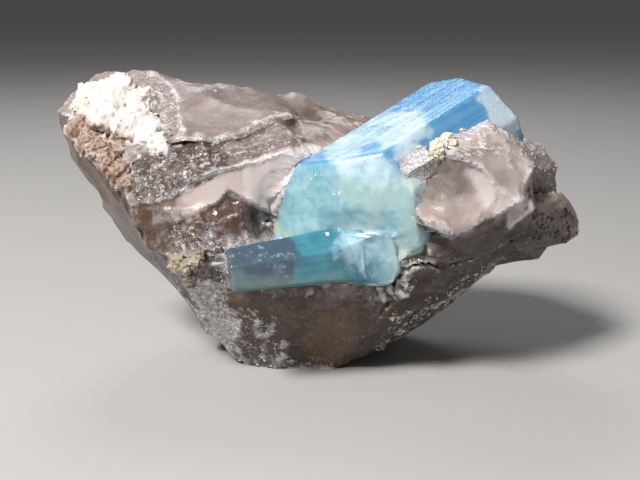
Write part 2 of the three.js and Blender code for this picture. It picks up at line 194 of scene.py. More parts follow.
class Skin:
    """A piece's points as arrays in millimetres, with the moves that weather a natural surface."""

    def __init__(self, piece: bpy.types.Object) -> None:
        """Reads a piece's mesh.

        Args:
            piece: the object whose surface this is.
        """
        self.piece = piece
        self.mesh = piece.data
        edges = np.empty(len(self.mesh.edges) * 2, int)
        self.mesh.edges.foreach_get("vertices", edges)
        self.first, self.second = edges.reshape(-1, 2).T
        self.count = len(self.mesh.vertices)
        self.degree = np.bincount(np.concatenate([self.first, self.second]), minlength=self.count)
        self.fixed = np.zeros(self.count)
        self.refresh()

    def refresh(self) -> None:
        """Reads the points and their normals again."""
        self.mesh.update()
        spots = np.empty(self.count * 3)
        normals = np.empty(self.count * 3)
        self.mesh.vertices.foreach_get("co", spots)
        self.mesh.vertices.foreach_get("normal", normals)
        self.spots = spots.reshape(-1, 3) / MM
        self.normals = normals.reshape(-1, 3)
        self.seen = EYE.seen(self.spots)

    def write(self) -> None:
        """Puts the points back on the mesh."""
        self.mesh.vertices.foreach_set("co", (self.spots * MM).ravel())
        self.refresh()

    def softened(self, values: np.ndarray, rounds: int) -> np.ndarray:
        """Averages values over their neighbours.

        Args:
            values: one number, or one row, for each point.
            rounds: how often to average.

        Returns:
            The averaged values.
        """
        table = values.reshape(self.count, -1).astype(float)
        for _ in range(rounds):
            columns = [
                np.bincount(self.first, column[self.second], self.count)
                + np.bincount(self.second, column[self.first], self.count)
                for column in table.T
            ]
            table = 0.5 * table + 0.5 * np.stack(columns, 1) / np.maximum(self.degree, 1)[:, None]
        return table.reshape(values.shape)

    def standing(self, rounds: int) -> np.ndarray:
        """How far each point stands out of its smoothed surroundings, in millimetres."""
        return ((self.spots - self.softened(self.spots, rounds)) * self.normals).sum(1)

    def push(self, amount: np.ndarray) -> None:
        """Moves each point along its normal by an amount in millimetres."""
        self.spots += self.normals * amount[:, None]
        self.write()

    def chip(
        self, at: int, radius: float, depth: float, lean: float, ripple: float, picker: random.Random
    ) -> None:
        """Takes a shell-shaped chip off: points inside a ball are pushed out to its surface.

        Args:
            at: the number of the point where the ball goes in.
            radius: the ball's radius in millimetres.
            depth: how far it goes in, in millimetres.
            lean: how far it may come in from the side, as a share of straight in.
            ripple: height of the rings in the chip, in millimetres.
            picker: where the random numbers come from.
        """
        tilt = Vector([picker.uniform(-lean, lean) for _ in range(3)])
        outward = (Vector(self.normals[at]) + tilt).normalized()
        centre = self.spots[at] + np.array(outward) * (radius - depth)
        away = self.spots - centre
        reach = np.linalg.norm(away, axis=1)
        inside = (reach < radius) & (self.fixed < 0.5)
        wave = ripple * np.sin(self.spots[inside] @ np.array(RIPPLE_WAY))
        self.spots[inside] = centre + away[inside] / reach[inside, None] * (radius + wave)[:, None]

    def limit_loss(self, whole: np.ndarray, deepest: float) -> None:
        """Keeps chips shallow, also where a ball meets the far side of a hollow.

        Args:
            whole: the points as they were before the chips, one row each.
            deepest: the depth in millimetres that no chip goes past.
        """
        lost = self.spots - whole
        depth = np.maximum(np.linalg.norm(lost, axis=1), 1e-9)
        kept = deepest * (1 - np.exp(-depth / deepest))
        self.spots = whole + lost * (kept / depth)[:, None]
        self.write()

    def gaps(self, others: Sequence["Skin"], reach: float) -> tuple[np.ndarray, np.ndarray]:
        """Measures the gaps to other pieces.

        Args:
            others: the pieces.
            reach: how far to look, in millimetres.

        Returns:
            The distance and the way from each point to the nearest piece, in millimetres.
        """
        near = np.full(self.count, FAR)
        towards = np.zeros((self.count, 3))
        for other in others:
            faces = [polygon.vertices for polygon in other.mesh.polygons]
            tree = BVHTree.FromPolygons([Vector(spot) for spot in other.spots], faces)
            low, high = other.spots.min(0) - reach, other.spots.max(0) + reach
            for i in np.flatnonzero(((self.spots > low) & (self.spots < high)).all(1)):
                found = tree.find_nearest(Vector(self.spots[i]), reach)
                if found[0] is not None and found[3] < near[i]:
                    near[i] = found[3]
                    towards[i] = found[0] - Vector(self.spots[i])
        return near, towards

    def draw_to(self, gap: np.ndarray, towards: np.ndarray, contact: float) -> None:
        """Draws the surface up to another piece, so that the two are grown together.

        Args:
            gap: each point's distance from the other piece, in millimetres.
            towards: the way there.
            contact: the distance within which points are drawn all the way.
        """
        share = 1 - smooth_step(gap, contact * 0.9, contact * 1.9)
        length = np.maximum(np.linalg.norm(towards, axis=1), 1e-6)
        self.spots += towards * (share * (1 + SEAT / length))[:, None]
        self.write()

    def relax(self, share: np.ndarray, rounds: int, limit: float) -> None:
        """Draws an area out smooth between its edges.

        Args:
            share: how far each point takes part, from 0 to 1.
            rounds: how often each point moves to the middle of its neighbours.
            limit: the furthest that a point may move, in millimetres.
        """
        whole = self.spots.copy()
        linked = (share[self.first] > 0) | (share[self.second] > 0)
        first, second = self.first[linked], self.second[linked]
        links = np.maximum(self.degree, 1)[:, None]
        for _ in range(rounds):
            columns = [
                np.bincount(first, column[second], self.count)
                + np.bincount(second, column[first], self.count)
                for column in self.spots.T
            ]
            total = np.stack(columns, 1)
            self.spots += (total / links - self.spots) * share[:, None] * (share[:, None] > 0)
        moved = self.spots - whole
        length = np.maximum(np.linalg.norm(moved, axis=1), 1e-9)
        self.spots = whole + moved * (limit * np.tanh(length / limit) / length)[:, None]
        self.write()

    def keep_in(self, node: str) -> None:
        """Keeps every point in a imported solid's box."""
        self.spots = np.clip(self.spots, *box_of(node))

    def crease(self, degrees: float) -> None:
        """Shades edges that turn by more than this many degrees as sharp."""
        self.mesh.set_sharp_from_angle(angle=math.radians(degrees))

    def remember(self, name: str, values: np.ndarray) -> None:
        """Keeps a number for each point as an attribute that a finish reads."""
        attribute = self.mesh.attributes.new(name, "FLOAT", "POINT")
        attribute.data.foreach_set("value", values.astype(np.float32))

    def weigh(self, washes: Iterable["Wash"]) -> np.ndarray:
        """Lays washes over the surface.

        Args:
            washes: the washes.

        Returns:
            The strongest of them at each point, from 0 to 1.
        """
        found = np.zeros(self.count)
        for wash in washes:
            found = np.maximum(found, wash.weigh(self))
        return found


@dataclass(frozen=True)
class Chips:
    """A run of chips at random places; lengths in millimetres."""

    count: int
    radii: Span
    depths: Span
    lean: float
    ripple: float
    seed: int

    def strike(self, skin: Skin, places: np.ndarray) -> None:
        """Breaks the chips out of a surface.

        Args:
            skin: the surface.
            places: the numbers of the points where a chip may start.
        """
        picker = random.Random(self.seed)
        for _ in range(self.count):
            at = int(places[picker.randrange(len(places))])
            radius = picker.uniform(*self.radii)
            depth = picker.uniform(*self.depths)
            skin.chip(at, radius, depth, self.lean, self.ripple, picker)


# ---------------------------------------------------------------- marks on the show side


def measure(seen: np.ndarray, points: Sequence[Point], closed: bool) -> tuple[np.ndarray, np.ndarray]:
    """Measures places on the show plane against a line.

    Args:
        seen: the places, one row each.
        points: the line's points.
        closed: whether the line is the outline of an area.

    Returns:
        Each place's distance from the line, below 0 inside an area, and how far it lies to the left
        of the line.
    """
    nearest = np.full(len(seen), np.inf)
    side = np.zeros(len(seen))
    inside = np.zeros(len(seen), bool)
    line = [*points, points[0]] if closed or len(points) == 1 else points
    for start, end in zip(np.array(line), np.array(line)[1:]):
        run = end - start
        away = seen - start
        share = np.clip(away @ run / max(float(run @ run), 1e-9), 0, 1)
        distance = np.linalg.norm(away - share[:, None] * run, axis=1)
        left = (run[0] * away[:, 1] - run[1] * away[:, 0]) / max(float(np.linalg.norm(run)), 1e-9)
        closer = distance < nearest
        nearest[closer] = distance[closer]
        side[closer] = left[closer]
        crosses = (start[1] > seen[:, 1]) != (end[1] > seen[:, 1])
        inside ^= crosses & ((left > 0) == (run[1] > 0))
    return np.where(inside & closed, -nearest, nearest), side


def shown(skin: Skin) -> np.ndarray:
    """Finds what a surface shows of itself.

    Args:
        skin: the surface.

    Returns:
        1 for each point where it faces the eye, falling to 0 where it turns away.
    """
    towards = np.array(EYE.place()) - skin.spots
    towards /= np.linalg.norm(towards, axis=1)[:, None]
    return smooth_step((skin.normals * towards).sum(1), -0.1, 0.12)


@dataclass(frozen=True)
class Wash:
    """A stretch of the show side: a line with its reach, or an area.

    It fades out beyond its edge, which may be ragged, and it may go through to the surfaces that
    face away from the eye.
    """

    points: tuple[Point, ...]
    reach: float = 0.0
    fade: float = 0.4
    strength: float = 1.0
    closed: bool = False
    ragged: float = 0.25
    grain: float = 0.8
    through: bool = False

    def weigh(self, skin: Skin) -> np.ndarray:
        """How strongly the wash lies on each point.

        Args:
            skin: the surface that the wash lies on.

        Returns:
            One number from 0 to the wash's strength for each point.
        """
        nearest, _ = measure(skin.seen, self.points, self.closed)
        close = nearest < self.reach + self.fade + self.ragged
        rough = np.zeros(skin.count)
        rough[close] = drift(skin.spots[close], self.grain, 4.0) * self.ragged * 2
        facing = 1.0 if self.through else shown(skin)
        left = smooth_step(nearest + rough, self.reach, self.reach + self.fade)
        return self.strength * facing * (1 - left)


def area(*points: Point, fade: float = 0.4, strength: float = 1.0, ragged: float = 0.2) -> Wash:
    """A wash over an area with this outline."""
    return Wash(points, 0.0, fade, strength, True, ragged)


@dataclass(frozen=True)
class Fold:
    """A break in the surface along a line on the show side: a crest, a step, or both.

    A step above 0 rises to the left of the line, and the line may be bruised white.
    """

    points: tuple[Point, ...]
    crest: float = 0.0
    step: float = 0.0
    reach: float = 0.5
    wander: float = 0.12
    bright: float = 0.0
    wave: float = 1.1
    riser: float = 0.14
    bruise_widths: Span = (0.02, 0.11)

    def bruise(self, skin: Skin) -> np.ndarray:
        """How white the line is bruised at each point, from 0 to 1."""
        return Wash(self.points, *self.bruise_widths, self.bright, ragged=0.05, grain=0.5).weigh(skin)

    def lift(self, skin: Skin) -> np.ndarray:
        """How far each point is raised, in millimetres.

        Args:
            skin: the surface that the line lies on.

        Returns:
            The crest's height on the line, and half the step's height on its left and right.
        """
        nearest, side = measure(skin.seen, self.points, False)
        close = nearest < self.reach * 6
        bend = np.zeros(skin.count)
        bend[close] = drift(skin.spots[close], self.wave, 9.0) * self.wander
        away = np.abs(np.where(nearest > np.abs(side), nearest, side + bend))
        crest = self.crest * np.exp(-away / self.reach)
        step = 0.5 * self.step * np.tanh((side + bend) / self.riser) * np.exp(-nearest / (self.reach * 2.5))
        return shown(skin) * (crest + step)


@dataclass(frozen=True)
class Smoothing:
    """Washes under which the surface is drawn out smooth; its limit is in millimetres."""

    washes: tuple[Wash, ...]
    share: float
    rounds: int
    limit: float

    def apply(self, skin: Skin) -> None:
        """Draws the surface out."""
        skin.relax(skin.weigh(self.washes) * self.share, self.rounds, self.limit)


# Outlines that several marks share.
NECK = ((-13.9, 12.6), (-11.4, 11.6), (-10.9, 8.6), (-12.5, 8.9), (-13.9, 11.0))
LEFT_SLOPE = ((-14.2, 5.7), (-11.2, 7.0), (-8.8, 7.2), (-7.6, 5.4), (-11.2, 3.5), (-14.3, 3.1))
LEFT_FLANK = ((-13.8, 2.4), (-10.6, 1.6), (-9.0, 1.4), (-9.6, -0.4), (-12.2, -1.6), (-13.4, -0.4))
SMALL_HOLLOW = ((6.6, 0.4), (8.0, 0.9), (9.7, 0.2), (9.4, -1.1), (6.8, -1.5))
NECK_EDGE = ((-12.9, 12.7), (-11.5, 12.0), (-10.9, 10.9), (-10.8, 9.4), (-10.5, 8.4))

# Parts of the stone's show side.
UPPER_LEDGE = area(
    (-11.2, 8.3), (-10.6, 11.6), (-7.1, 11.9), (-0.6, 10.6), (-2.0, 9.8), (-3.7, 9.4), (-6.1, 8.3),
    (-8.8, 7.8),
)
PALE_HOLLOW = area(
    (-14.2, 2.8), (-11.2, 3.3), (-7.1, 5.3), (-2.8, 6.5), (-0.3, 7.0), (-2.6, 4.2), (-4.3, 2.2),
    (-5.4, 2.9), (-7.0, 3.9), (-7.8, 2.9), (-8.8, 2.4), (-10.3, 1.5), (-11.0, 2.0), fade=0.15, ragged=0.08,
)
STEPPED_FACE = area(
    (-14.2, 5.7), (-11.2, 7.0), (-6.1, 8.0), (-3.7, 9.2), (-1.8, 7.6), (-5.4, 5.9), (-8.8, 5.0),
    (-11.2, 3.5), (-14.3, 3.1),
)
RIGHT_DISH = area(
    (7.2, 5.5), (8.9, 6.7), (12.3, 5.4), (14.9, 2.8), (13.6, 1.9), (11.1, 0.6), (9.9, 0.35), (8.3, 1.3),
    (7.5, 2.6), fade=0.2, ragged=0.08,
)
LEFT_WING = area(
    (-19.6, 8.2), (-18.4, 6.4), (-16.0, 4.0), (-14.6, 2.6), (-13.6, -0.4), (-12.4, -2.0), (-10.6, -4.2),
    (-13.4, -3.0), (-18.0, 3.0), (-20.2, 7.0),
)
# The pale hollow, with the notch at the large crystal's corner.
NOTCH = (
    area((-10.6, 3.2), (-7.1, 5.0), (-2.8, 6.3), (-0.9, 6.9), (-2.4, 4.6), (-4.1, 2.2), (-3.2, 1.0),
         (-3.6, 0.3), (-5.6, 1.0), (-5.6, 2.6), (-7.0, 3.6), (-8.8, 2.6), fade=0.3, ragged=0.05),
)
# Rough and grainy.
COARSE = (
    area((-12.6, 2.2), (-8.6, 1.6), (-6.6, 0.0), (-6.6, -3.6), (5.0, -4.4), (6.8, -4.0), (9.0, -3.0),
         (13.6, -2.2), (4.4, -8.8), (0.6, -10.2), (-6.4, -9.4), (-12.4, -1.4), fade=0.6),
    area((15.8, 5.6), (15.6, 8.8), (18.8, 6.4), (19.0, 3.6), (17.2, 4.2), fade=0.5),
    area(*LEFT_SLOPE, strength=0.6),
    area(*NECK, strength=0.7),
)
# Smooth, with hardly a chip.
CALM = (
    UPPER_LEDGE, PALE_HOLLOW, RIGHT_DISH,
    area((9.6, 6.4), (12.5, 5.6), (14.8, 3.1), (15.4, 4.2), (16.0, 5.4), (13.6, 7.4), fade=0.3),
    area((8.0, -1.6), (10.0, 0.2), (14.1, 2.0), (14.0, 0.8), (12.8, -0.9), (10.2, -1.6), fade=0.3),
    area((-15.1, 7.5), (-13.0, 7.0), (-13.0, 5.8), (-14.7, 5.6)),
    area((-18.5, 6.5), (-14.9, 3.7), (-13.9, 0.2), (-12.7, -1.4), (-14.4, -1.2), (-17.3, 4.3)),
)
# Crests and steps between the broken faces.
FOLDS = (
    Fold(NECK_EDGE, 0.03, 0.12, 0.2, 0.06, 0.7),
    Fold(((-10.5, 7.8), (-8.1, 7.7), (-6.2, 8.2), (-5.4, 8.7), (-3.7, 9.5), (-2.0, 9.7)), 0.0, 0.18, 0.2,
         0.06, 0.8),
    Fold(((-3.5, 9.1), (-2.3, 8.4), (-1.5, 7.5)), 0.1, -0.3, 0.3, bright=0.4),
    Fold(((-14.4, 2.7), (-12.0, 3.1), (-10.5, 3.8), (-9.1, 4.8), (-7.1, 5.4), (-4.4, 6.1), (-2.0, 7.0),
         (-0.2, 7.1)), 0.05, 0.2, 0.2, 0.06, 0.9),
    Fold(((-10.5, 1.6), (-8.8, 2.4), (-7.8, 2.9), (-7.0, 3.9), (-5.4, 2.9), (-4.4, 2.2)), 0.06, 0.45, 0.25,
         bright=0.6),
    Fold(((-14.8, 3.8), (-14.6, 2.9), (-14.3, 1.2), (-13.4, -0.3), (-12.7, -1.5)), 0.15, 0.2, 0.25,
         bright=0.5),
    Fold(((-5.4, 2.9), (-4.4, 2.3), (-3.6, 1.0)), 0.1, 0.25, 0.25),
    Fold(((8.8, 6.9), (10.7, 6.1), (12.4, 5.4), (13.1, 4.6), (14.0, 3.5), (15.0, 2.8)), 0.04, 0.4, 0.25,
         0.04, 0.5),
    Fold(((8.2, 1.3), (9.4, 0.7), (10.2, 0.3), (11.0, 0.5), (12.4, 1.4), (13.4, 1.8), (15.0, 2.8)), 0.1,
         0.7, 0.4, 0.04, 0.8),
    Fold(((16.2, 5.4), (15.5, 3.9), (15.0, 2.8)), 0.1, -0.4, 0.25, 0.05, 0.9),
    Fold(((14.4, 1.0), (16.5, 2.4), (16.2, 4.0), (16.2, 5.4)), 0.1, 0.4, 0.25, 0.05, 0.7),
    Fold(((6.7, 0.5), (7.6, 1.0), (8.6, 0.9), (9.9, 0.3)), 0.15, 0.35, 0.2, 0.05, 0.7),
    Fold(((7.7, -1.3), (10.2, -1.7), (12.7, -1.0), (14.1, -0.3)), 0.05, 0.3, 0.3, bright=0.2),
    Fold(((16.3, 5.4), (17.2, 4.4), (18.5, 3.8)), 0.1, 0.3, 0.3, bright=0.5),
    Fold(((3.6, -3.6), (4.0, -4.2), (4.9, -4.7), (6.8, -4.3)), 0.1, 0.3, 0.25, bright=0.5),
    Fold(((-0.8, -9.4), (-1.0, -7.4), (0.2, -6.0)), 0.08, -0.15, 0.3),
    # The underside's rim, bruised white and partly a painted glint.
    Fold(((8.8, -5.1), (11.0, -3.9), (13.9, -2.2)), 0.06, 0.15, 0.2, bright=0.6),
    Fold(((12.6, 9.1), (14.4, 9.0), (16.0, 7.9), (18.0, 6.4)), 0.05, 0.0, 0.2, bright=0.5),
)
# Ruled by growth steps.
STEPPED = (
    STEPPED_FACE,
    area(*NECK, strength=0.6),
)
# Pale and pinkish, and partly painted light, which brightens the pale hollow, the slope beside the large
# crystal, the dish and the right shelf.
PALE_AND_LIT = (
    area((7.6, 2.4), (8.5, 1.5), (10.0, 0.5), (11.2, 0.8), (13.6, 2.0), (14.7, 2.8), (12.6, 3.6),
         (10.0, 2.8), fade=0.8, strength=0.5),
    area((11.6, 4.6), (12.6, 5.2), (14.8, 2.9), (13.4, 1.9), (12.6, 3.0)),
    area((7.2, 5.5), (8.9, 6.7), (12.3, 5.4), (14.8, 2.8), (10.0, 0.4), (8.3, 1.3), fade=0.2, strength=0.2),
    area((8.9, 6.9), (12.3, 5.5), (14.8, 3.0), (15.5, 4.1), (16.1, 5.3), (14.4, 8.6), (12.6, 9.0),
         strength=0.4),
    area((14.5, 2.0), (15.5, 3.7), (16.4, 2.5), (14.5, 1.0), fade=0.2, strength=0.6),
    area((-11.0, 3.2), (-7.1, 5.2), (-2.8, 6.4), (-0.3, 7.0), (-2.6, 4.2), (-4.3, 2.3), (-5.6, 3.0),
         (-7.0, 3.9), (-7.8, 2.9), (-8.8, 2.4), (-10.3, 1.6), fade=0.2, strength=0.8, ragged=0.1),
    area((-5.6, 5.6), (-2.6, 6.4), (-0.3, 7.0), (-2.6, 4.2), (-4.3, 2.3), (-5.6, 3.0), fade=0.5),
    area((-11.2, 8.3), (-10.6, 11.6), (-7.1, 11.9), (-0.6, 10.6), (-3.7, 9.4), (-6.1, 8.3), strength=0.12),
    area((13.6, -0.4), (17.4, 0.2), (19.8, 1.8), (19.6, -0.4), (17.2, -2.0), (14.1, -2.0), strength=0.15),
)
# Cloudy white inside, and partly painted light, laid on strongest on the slope beside the large crystal, the
# pale hollow and the dish.
MILKY_AND_LIT = (
    area((-10.4, 3.3), (-7.1, 5.2), (-5.0, 5.9), (-5.4, 3.0), (-7.0, 3.8), (-8.8, 2.5), fade=0.5,
         strength=0.5),
    area((-5.8, 5.6), (-2.8, 6.4), (-0.3, 7.0), (-2.4, 4.4), (-4.0, 2.2), (-5.6, 3.0), fade=0.5,
         strength=0.9),
    area((7.8, 2.2), (8.5, 1.4), (10.0, 0.5), (11.2, 0.8), (13.6, 2.0), (14.7, 2.8), (12.6, 3.4),
         (10.0, 2.0), fade=0.7, strength=0.12),
    area((11.4, 5.2), (12.4, 5.5), (14.9, 2.9), (13.6, 2.0), (12.4, 3.2), fade=0.7, strength=0.75),
    area((14.4, 2.1), (15.5, 3.8), (16.4, 2.5), (14.5, 0.9), fade=0.15, strength=0.9, ragged=0.05),
    area((12.4, 5.6), (14.9, 3.1), (15.5, 4.1), (16.1, 5.3), (14.4, 7.0), fade=0.8, strength=0.45),
)
# Smokier and browner than the rest.
BROWN = (
    LEFT_WING,
    area(*LEFT_FLANK, strength=0.8),
    area((-3.5, 9.4), (0.4, 10.1), (0.6, 7.8), (-1.8, 7.5), strength=0.25),
    area((-14.2, 5.7), (-11.2, 7.0), (-8.0, 7.4), (-7.2, 5.4), (-11.2, 3.5), (-14.3, 3.1), fade=0.8,
         strength=0.5),
    area((-8.0, 7.5), (-3.7, 9.2), (-1.8, 7.6), (-5.4, 5.9), (-7.4, 5.4), fade=0.6, strength=0.15),
    area((-13.8, 2.4), (-10.4, 1.5), (-7.8, 2.8), (-7.0, 3.8), (-5.4, 2.8), (-4.4, 2.1), (-3.6, 0.6),
         (-6.8, -0.2), (-9.5, 0.2), (-12.4, -1.0), strength=0.55),
    area((16.3, 5.3), (15.7, 4.0), (16.4, 2.6), (17.6, 3.4), (17.0, 4.4), fade=0.15, strength=0.28),
)
# Painted shade: the darkest places, on the underside, the foot, the left wing, the small hollow and the band
# below the small crystal.
SHADED = (
    area((-18.8, 6.4), (-16.2, 3.6), (-14.8, 2.2), (-13.8, -0.6), (-12.6, -2.2), (-10.8, -4.2),
         (-13.4, -3.0), (-18.0, 3.0), strength=0.6),
    area((6.6, -1.6), (13.1, -1.6), (13.8, -2.3), (6.3, -6.6), (4.6, -8.6), (4.0, -5.0), strength=0.85,
         fade=0.8),
    area(*SMALL_HOLLOW, strength=0.6),
    area((-6.0, -4.2), (4.8, -4.9), (4.4, -6.4), (-5.6, -5.4), strength=0.5, fade=0.6),
    area((13.2, -0.2), (16.2, 0.9), (19.4, 0.2), (19.6, -0.8), (17.2, -2.3), (13.6, -2.3), strength=0.65),
    area((2.4, -5.1), (4.0, -5.2), (6.4, -7.0), (4.6, -8.6), (1.4, -9.8), fade=0.6),
    area((-8.4, -5.0), (-1.2, -5.2), (-1.2, -9.6), (-5.8, -9.2), strength=0.95, fade=0.9),
    area((-2.0, -5.2), (3.0, -5.2), (1.8, -9.8), (-2.2, -9.8), strength=0.35, fade=0.9),
)
# Stained by iron.
RUSTY = (
    area((6.6, -1.6), (13.1, -1.6), (19.2, 0.0), (17.2, -2.3), (13.8, -2.3), (6.3, -6.6), fade=0.8,
         strength=0.1),
    area((2.4, -5.2), (4.4, -5.4), (7.4, -5.2), (4.6, -8.6), (1.4, -9.8), fade=0.8, strength=0.12),
    area(*LEFT_FLANK, fade=0.5, strength=0.2),
    area((-19.8, 8.0), (-17.8, 6.0), (-15.6, 3.4), (-14.2, -0.2), (-12.6, -2.4), (-13.4, -3.0),
         (-17.0, 2.4), (-20.2, 6.8), strength=0.6),
    area((-7.0, -4.8), (-0.4, -5.0), (-0.4, -9.6), (-5.0, -9.2), fade=0.9, strength=0.2),
    area((0.2, -6.0), (2.6, -5.1), (2.3, -7.5), (0.8, -9.7), (-0.8, -9.6), (-1.0, -7.5), fade=0.9,
         strength=0.45),
    area((-7.9, -3.4), (-5.6, -4.4), (-5.8, -5.0), (-7.8, -4.4), strength=0.4),
    Wash(((16.4, 5.0), (17.6, 4.4), (18.5, 4.6)), 0.25, 0.3, 0.45),
    Wash(((-14.6, 3.4), (-14.2, 1.2), (-13.0, -1.0)), 0.1, 0.2, 0.5),
)
# Stained green.
GREENISH = (
    area((3.5, -3.5), (4.9, -3.2), (6.1, -3.7), (6.8, -4.3), (4.9, -4.6), (4.0, -4.1), fade=0.2,
         strength=0.6),
    area(*SMALL_HOLLOW, strength=0.5),
    area((7.3, 5.4), (9.0, 6.4), (10.6, 5.0), (8.4, 3.2), strength=0.25, fade=0.8),
)
# Covered with white frost and grains.
FROSTED = (
    area((-11.4, 1.2), (-8.2, 0.8), (-6.9, -0.4), (-7.0, -3.4), (-7.6, -7.2), (-10.0, -3.8)),
    area((-10.4, -3.2), (-8.4, -3.4), (-7.0, -6.0), (-7.0, -8.2), (-8.4, -6.6)),
    area((-8.0, -4.6), (-6.4, -5.2), (-3.6, -6.0), (-3.4, -8.8), (-6.2, -8.4), strength=0.45),
    Wash(((-5.4, -9.2), (-3.0, -9.4), (0.4, -9.6)), 0.25, 0.3, 0.7),
    area(*LEFT_SLOPE, strength=0.75),
    area((-8.8, 7.4), (-4.6, 8.6), (-2.6, 7.4), (-6.6, 5.8), strength=0.45),
    # White frost and grains, partly painted glints, along the underside's rim.
    Wash(((8.8, -5.0), (11.0, -3.8), (13.9, -2.1)), 0.35, 0.4, 0.8),
    Wash(((4.8, -8.2), (7.2, -5.8)), 0.4, 0.5, 0.7),
    area((16.4, 5.4), (15.9, 8.4), (18.3, 5.9), (18.6, 3.9), (17.2, 4.4), strength=0.6),
    area(*NECK, strength=0.7),
    area((5.7, -1.4), (7.9, -1.5), (7.5, -3.0), (6.2, -4.0), strength=0.8),
)
# Scratched with fine white streaks.
STREAKED = (
    area((9.0, 6.9), (11.9, 9.2), (14.1, 8.9), (12.8, 7.0), (11.0, 6.2), fade=0.5),
    area((13.0, 7.0), (15.4, 8.4), (16.2, 7.0), (14.6, 5.8), fade=0.5, strength=0.6),
)
# Dust in cracks and along edges.
DUSTY = (
    area((-2.9, 5.2), (-1.9, 6.5), (-0.3, 7.0), (-1.3, 5.6), (-2.4, 4.3), fade=0.2, strength=0.9,
         ragged=0.4),
    Wash(((-14.4, 2.8), (-12.0, 3.2), (-10.5, 3.9)), 0.05, 0.15, 0.4),
    Wash(((-10.5, 3.8), (-9.1, 4.7), (-7.1, 5.3)), 0.15, 0.2, 0.55),
    Wash(((-7.1, 5.4), (-4.4, 6.1), (-2.0, 7.0), (-0.2, 7.1)), 0.04, 0.12, 0.8),
    Wash(((-10.9, 7.9), (-8.1, 7.8), (-6.2, 8.3), (-5.4, 8.8), (-3.7, 9.5), (-2.4, 9.7)), 0.05, 0.2, 0.8),
    Wash(((-11.2, 12.1), (-9.4, 11.5), (-7.2, 11.9)), 0.1, 0.2, 0.6),
    Wash(((-6.5, -9.0), (-4.3, -9.8), (0.9, -9.9)), 0.08, 0.2, 0.5),
    Wash(((-4.9, -6.2), (-5.0, -7.0), (-4.2, -7.3), (-3.6, -6.7)), 0.1, 0.15, 0.9),
    Wash(((-2.8, -7.8), (-2.9, -8.4), (-2.8, -9.1)), 0.1, 0.12, 0.9),
    Wash(((-6.9, -0.2), (-7.1, -1.8), (-7.0, -3.2)), 0.15, 0.3, 0.7),
    Wash(((-6.8, -0.3), (-4.6, 0.0), (-3.0, 0.3)), 0.1, 0.25, 0.8),
    Wash(((-4.5, 2.0), (-3.7, 1.1), (-2.4, 0.4)), 0.2, 0.3, 0.8),
    Wash(NECK_EDGE, 0.05, 0.15, 0.7),
    area((6.2, 6.9), (7.2, 7.9), (9.3, 7.0), (8.6, 5.4), (7.4, 4.2), (6.6, 5.0), strength=0.85),
    area((-10.3, -3.0), (-8.2, -3.2), (-6.6, -6.4), (-6.8, -8.6), (-8.6, -6.4), fade=0.6, strength=0.75,
         ragged=0.5),
)
# Dark specks.
SPECKED = (
    Wash(((14.8, 0.2), (16.9, 0.1)), 0.3, 0.2),
    Wash(((16.3, 2.0), (17.6, 1.6)), 0.3, 0.2),
    Wash(((18.6, 2.0), (19.4, 1.5)), 0.4, 0.2),
    Wash(((17.2, 1.3), (19.1, 0.3)), 0.5, 0.3),
)
# Cream grains.
CREAMY = (
    Wash(((8.0, 7.0), (9.0, 7.4), (10.2, 8.2)), 0.4, 0.4),
    Wash(((-4.4, 1.8), (-3.7, 1.1), (-2.6, 0.5)), 0.15, 0.2, 0.6),
    Wash(((5.4, -5.7), (5.8, -6.0)), 0.2, 0.2, 0.8),
    Wash(((-8.0, -4.4), (-7.2, -5.2)), 0.3, 0.3, 0.5),
)
# Dark dots beside the seam.
DOTTED = (
    Wash(((6.6, 7.1), (6.7, 7.2)), 0.1, 0.1),
    Wash(((8.5, 6.4), (8.5, 6.2)), 0.1, 0.1),
)
# Bright specks on the large crystal's break.
BRIGHT = (
    Wash(((1.1, 3.5), (1.3, 3.6)), 0.12, 0.1),
    Wash(((-0.7, 4.8), (0.0, 5.2)), 0.12, 0.15),
    Wash(((7.2, 2.4), (7.4, 1.2)), 0.15, 0.2, 0.7),
)
# The white chip on the small crystal's upper edge.
CHIPPED = (
    Wash(((0.6, 0.5), (1.3, 0.75)), 0.12, 0.1),
)
# Rust along the white patch's lower edge.
STAINED = (
    Wash(((-19.4, 8.6), (-17.8, 7.4), (-16.4, 6.2), (-15.0, 4.4)), 1.1, 0.7),
    Wash(((-16.0, 7.0), (-14.6, 5.0)), 0.9, 0.7, 0.9),
)


# ---------------------------------------------------------------- finishes


class Amount:
    """A number in a finish, which sums and products add nodes to."""

    def __init__(self, graph: "Graph", socket: bpy.types.NodeSocket) -> None:
        """Wraps a socket of a graph."""
        self.graph = graph
        self.socket = socket

    def _math(self, operation: str, *values: "Number") -> "Amount":
        """Adds a Math node for an operation on values."""
        node = self.graph.node("ShaderNodeMath", {"operation": operation}, dict(enumerate(values)))
        return Amount(self.graph, node.outputs[0])

    def __add__(self, other: "Number") -> "Amount":
        """Adds a value."""
        return self._math("ADD", self, other)

    __radd__ = __add__

    def __mul__(self, other: "Number") -> "Amount":
        """Multiplies by a value."""
        return self._math("MULTIPLY", self, other)

    __rmul__ = __mul__

    def __sub__(self, other: "Number") -> "Amount":
        """Takes a value away."""
        return self._math("SUBTRACT", self, other)

    def __rsub__(self, other: "Number") -> "Amount":
        """Is taken away from a value."""
        return self._math("SUBTRACT", other, self)

    def between(self, low: float, high: float) -> "Amount":
        """Smoothly rises from 0 to 1 as this number goes from low to high.

        Args:
            low: where it starts; above the high value, the rise becomes a fall.
            high: where it ends.

        Returns:
            The new number.
        """
        settings = {"interpolation_type": "SMOOTHSTEP"}
        values = {"Value": self, "From Min": low, "From Max": high}
        node = self.graph.node("ShaderNodeMapRange", settings, values)
        return Amount(self.graph, node.outputs["Result"])

    def clamped(self) -> "Amount":
        """Kept from 0 to 1."""
        node = self.graph.node("ShaderNodeClamp", {}, {"Value": self})
        return Amount(self.graph, node.outputs[0])


Number = Union[Amount, float]
Link = Union[Amount, bpy.types.NodeSocket, float, Sequence[float]]


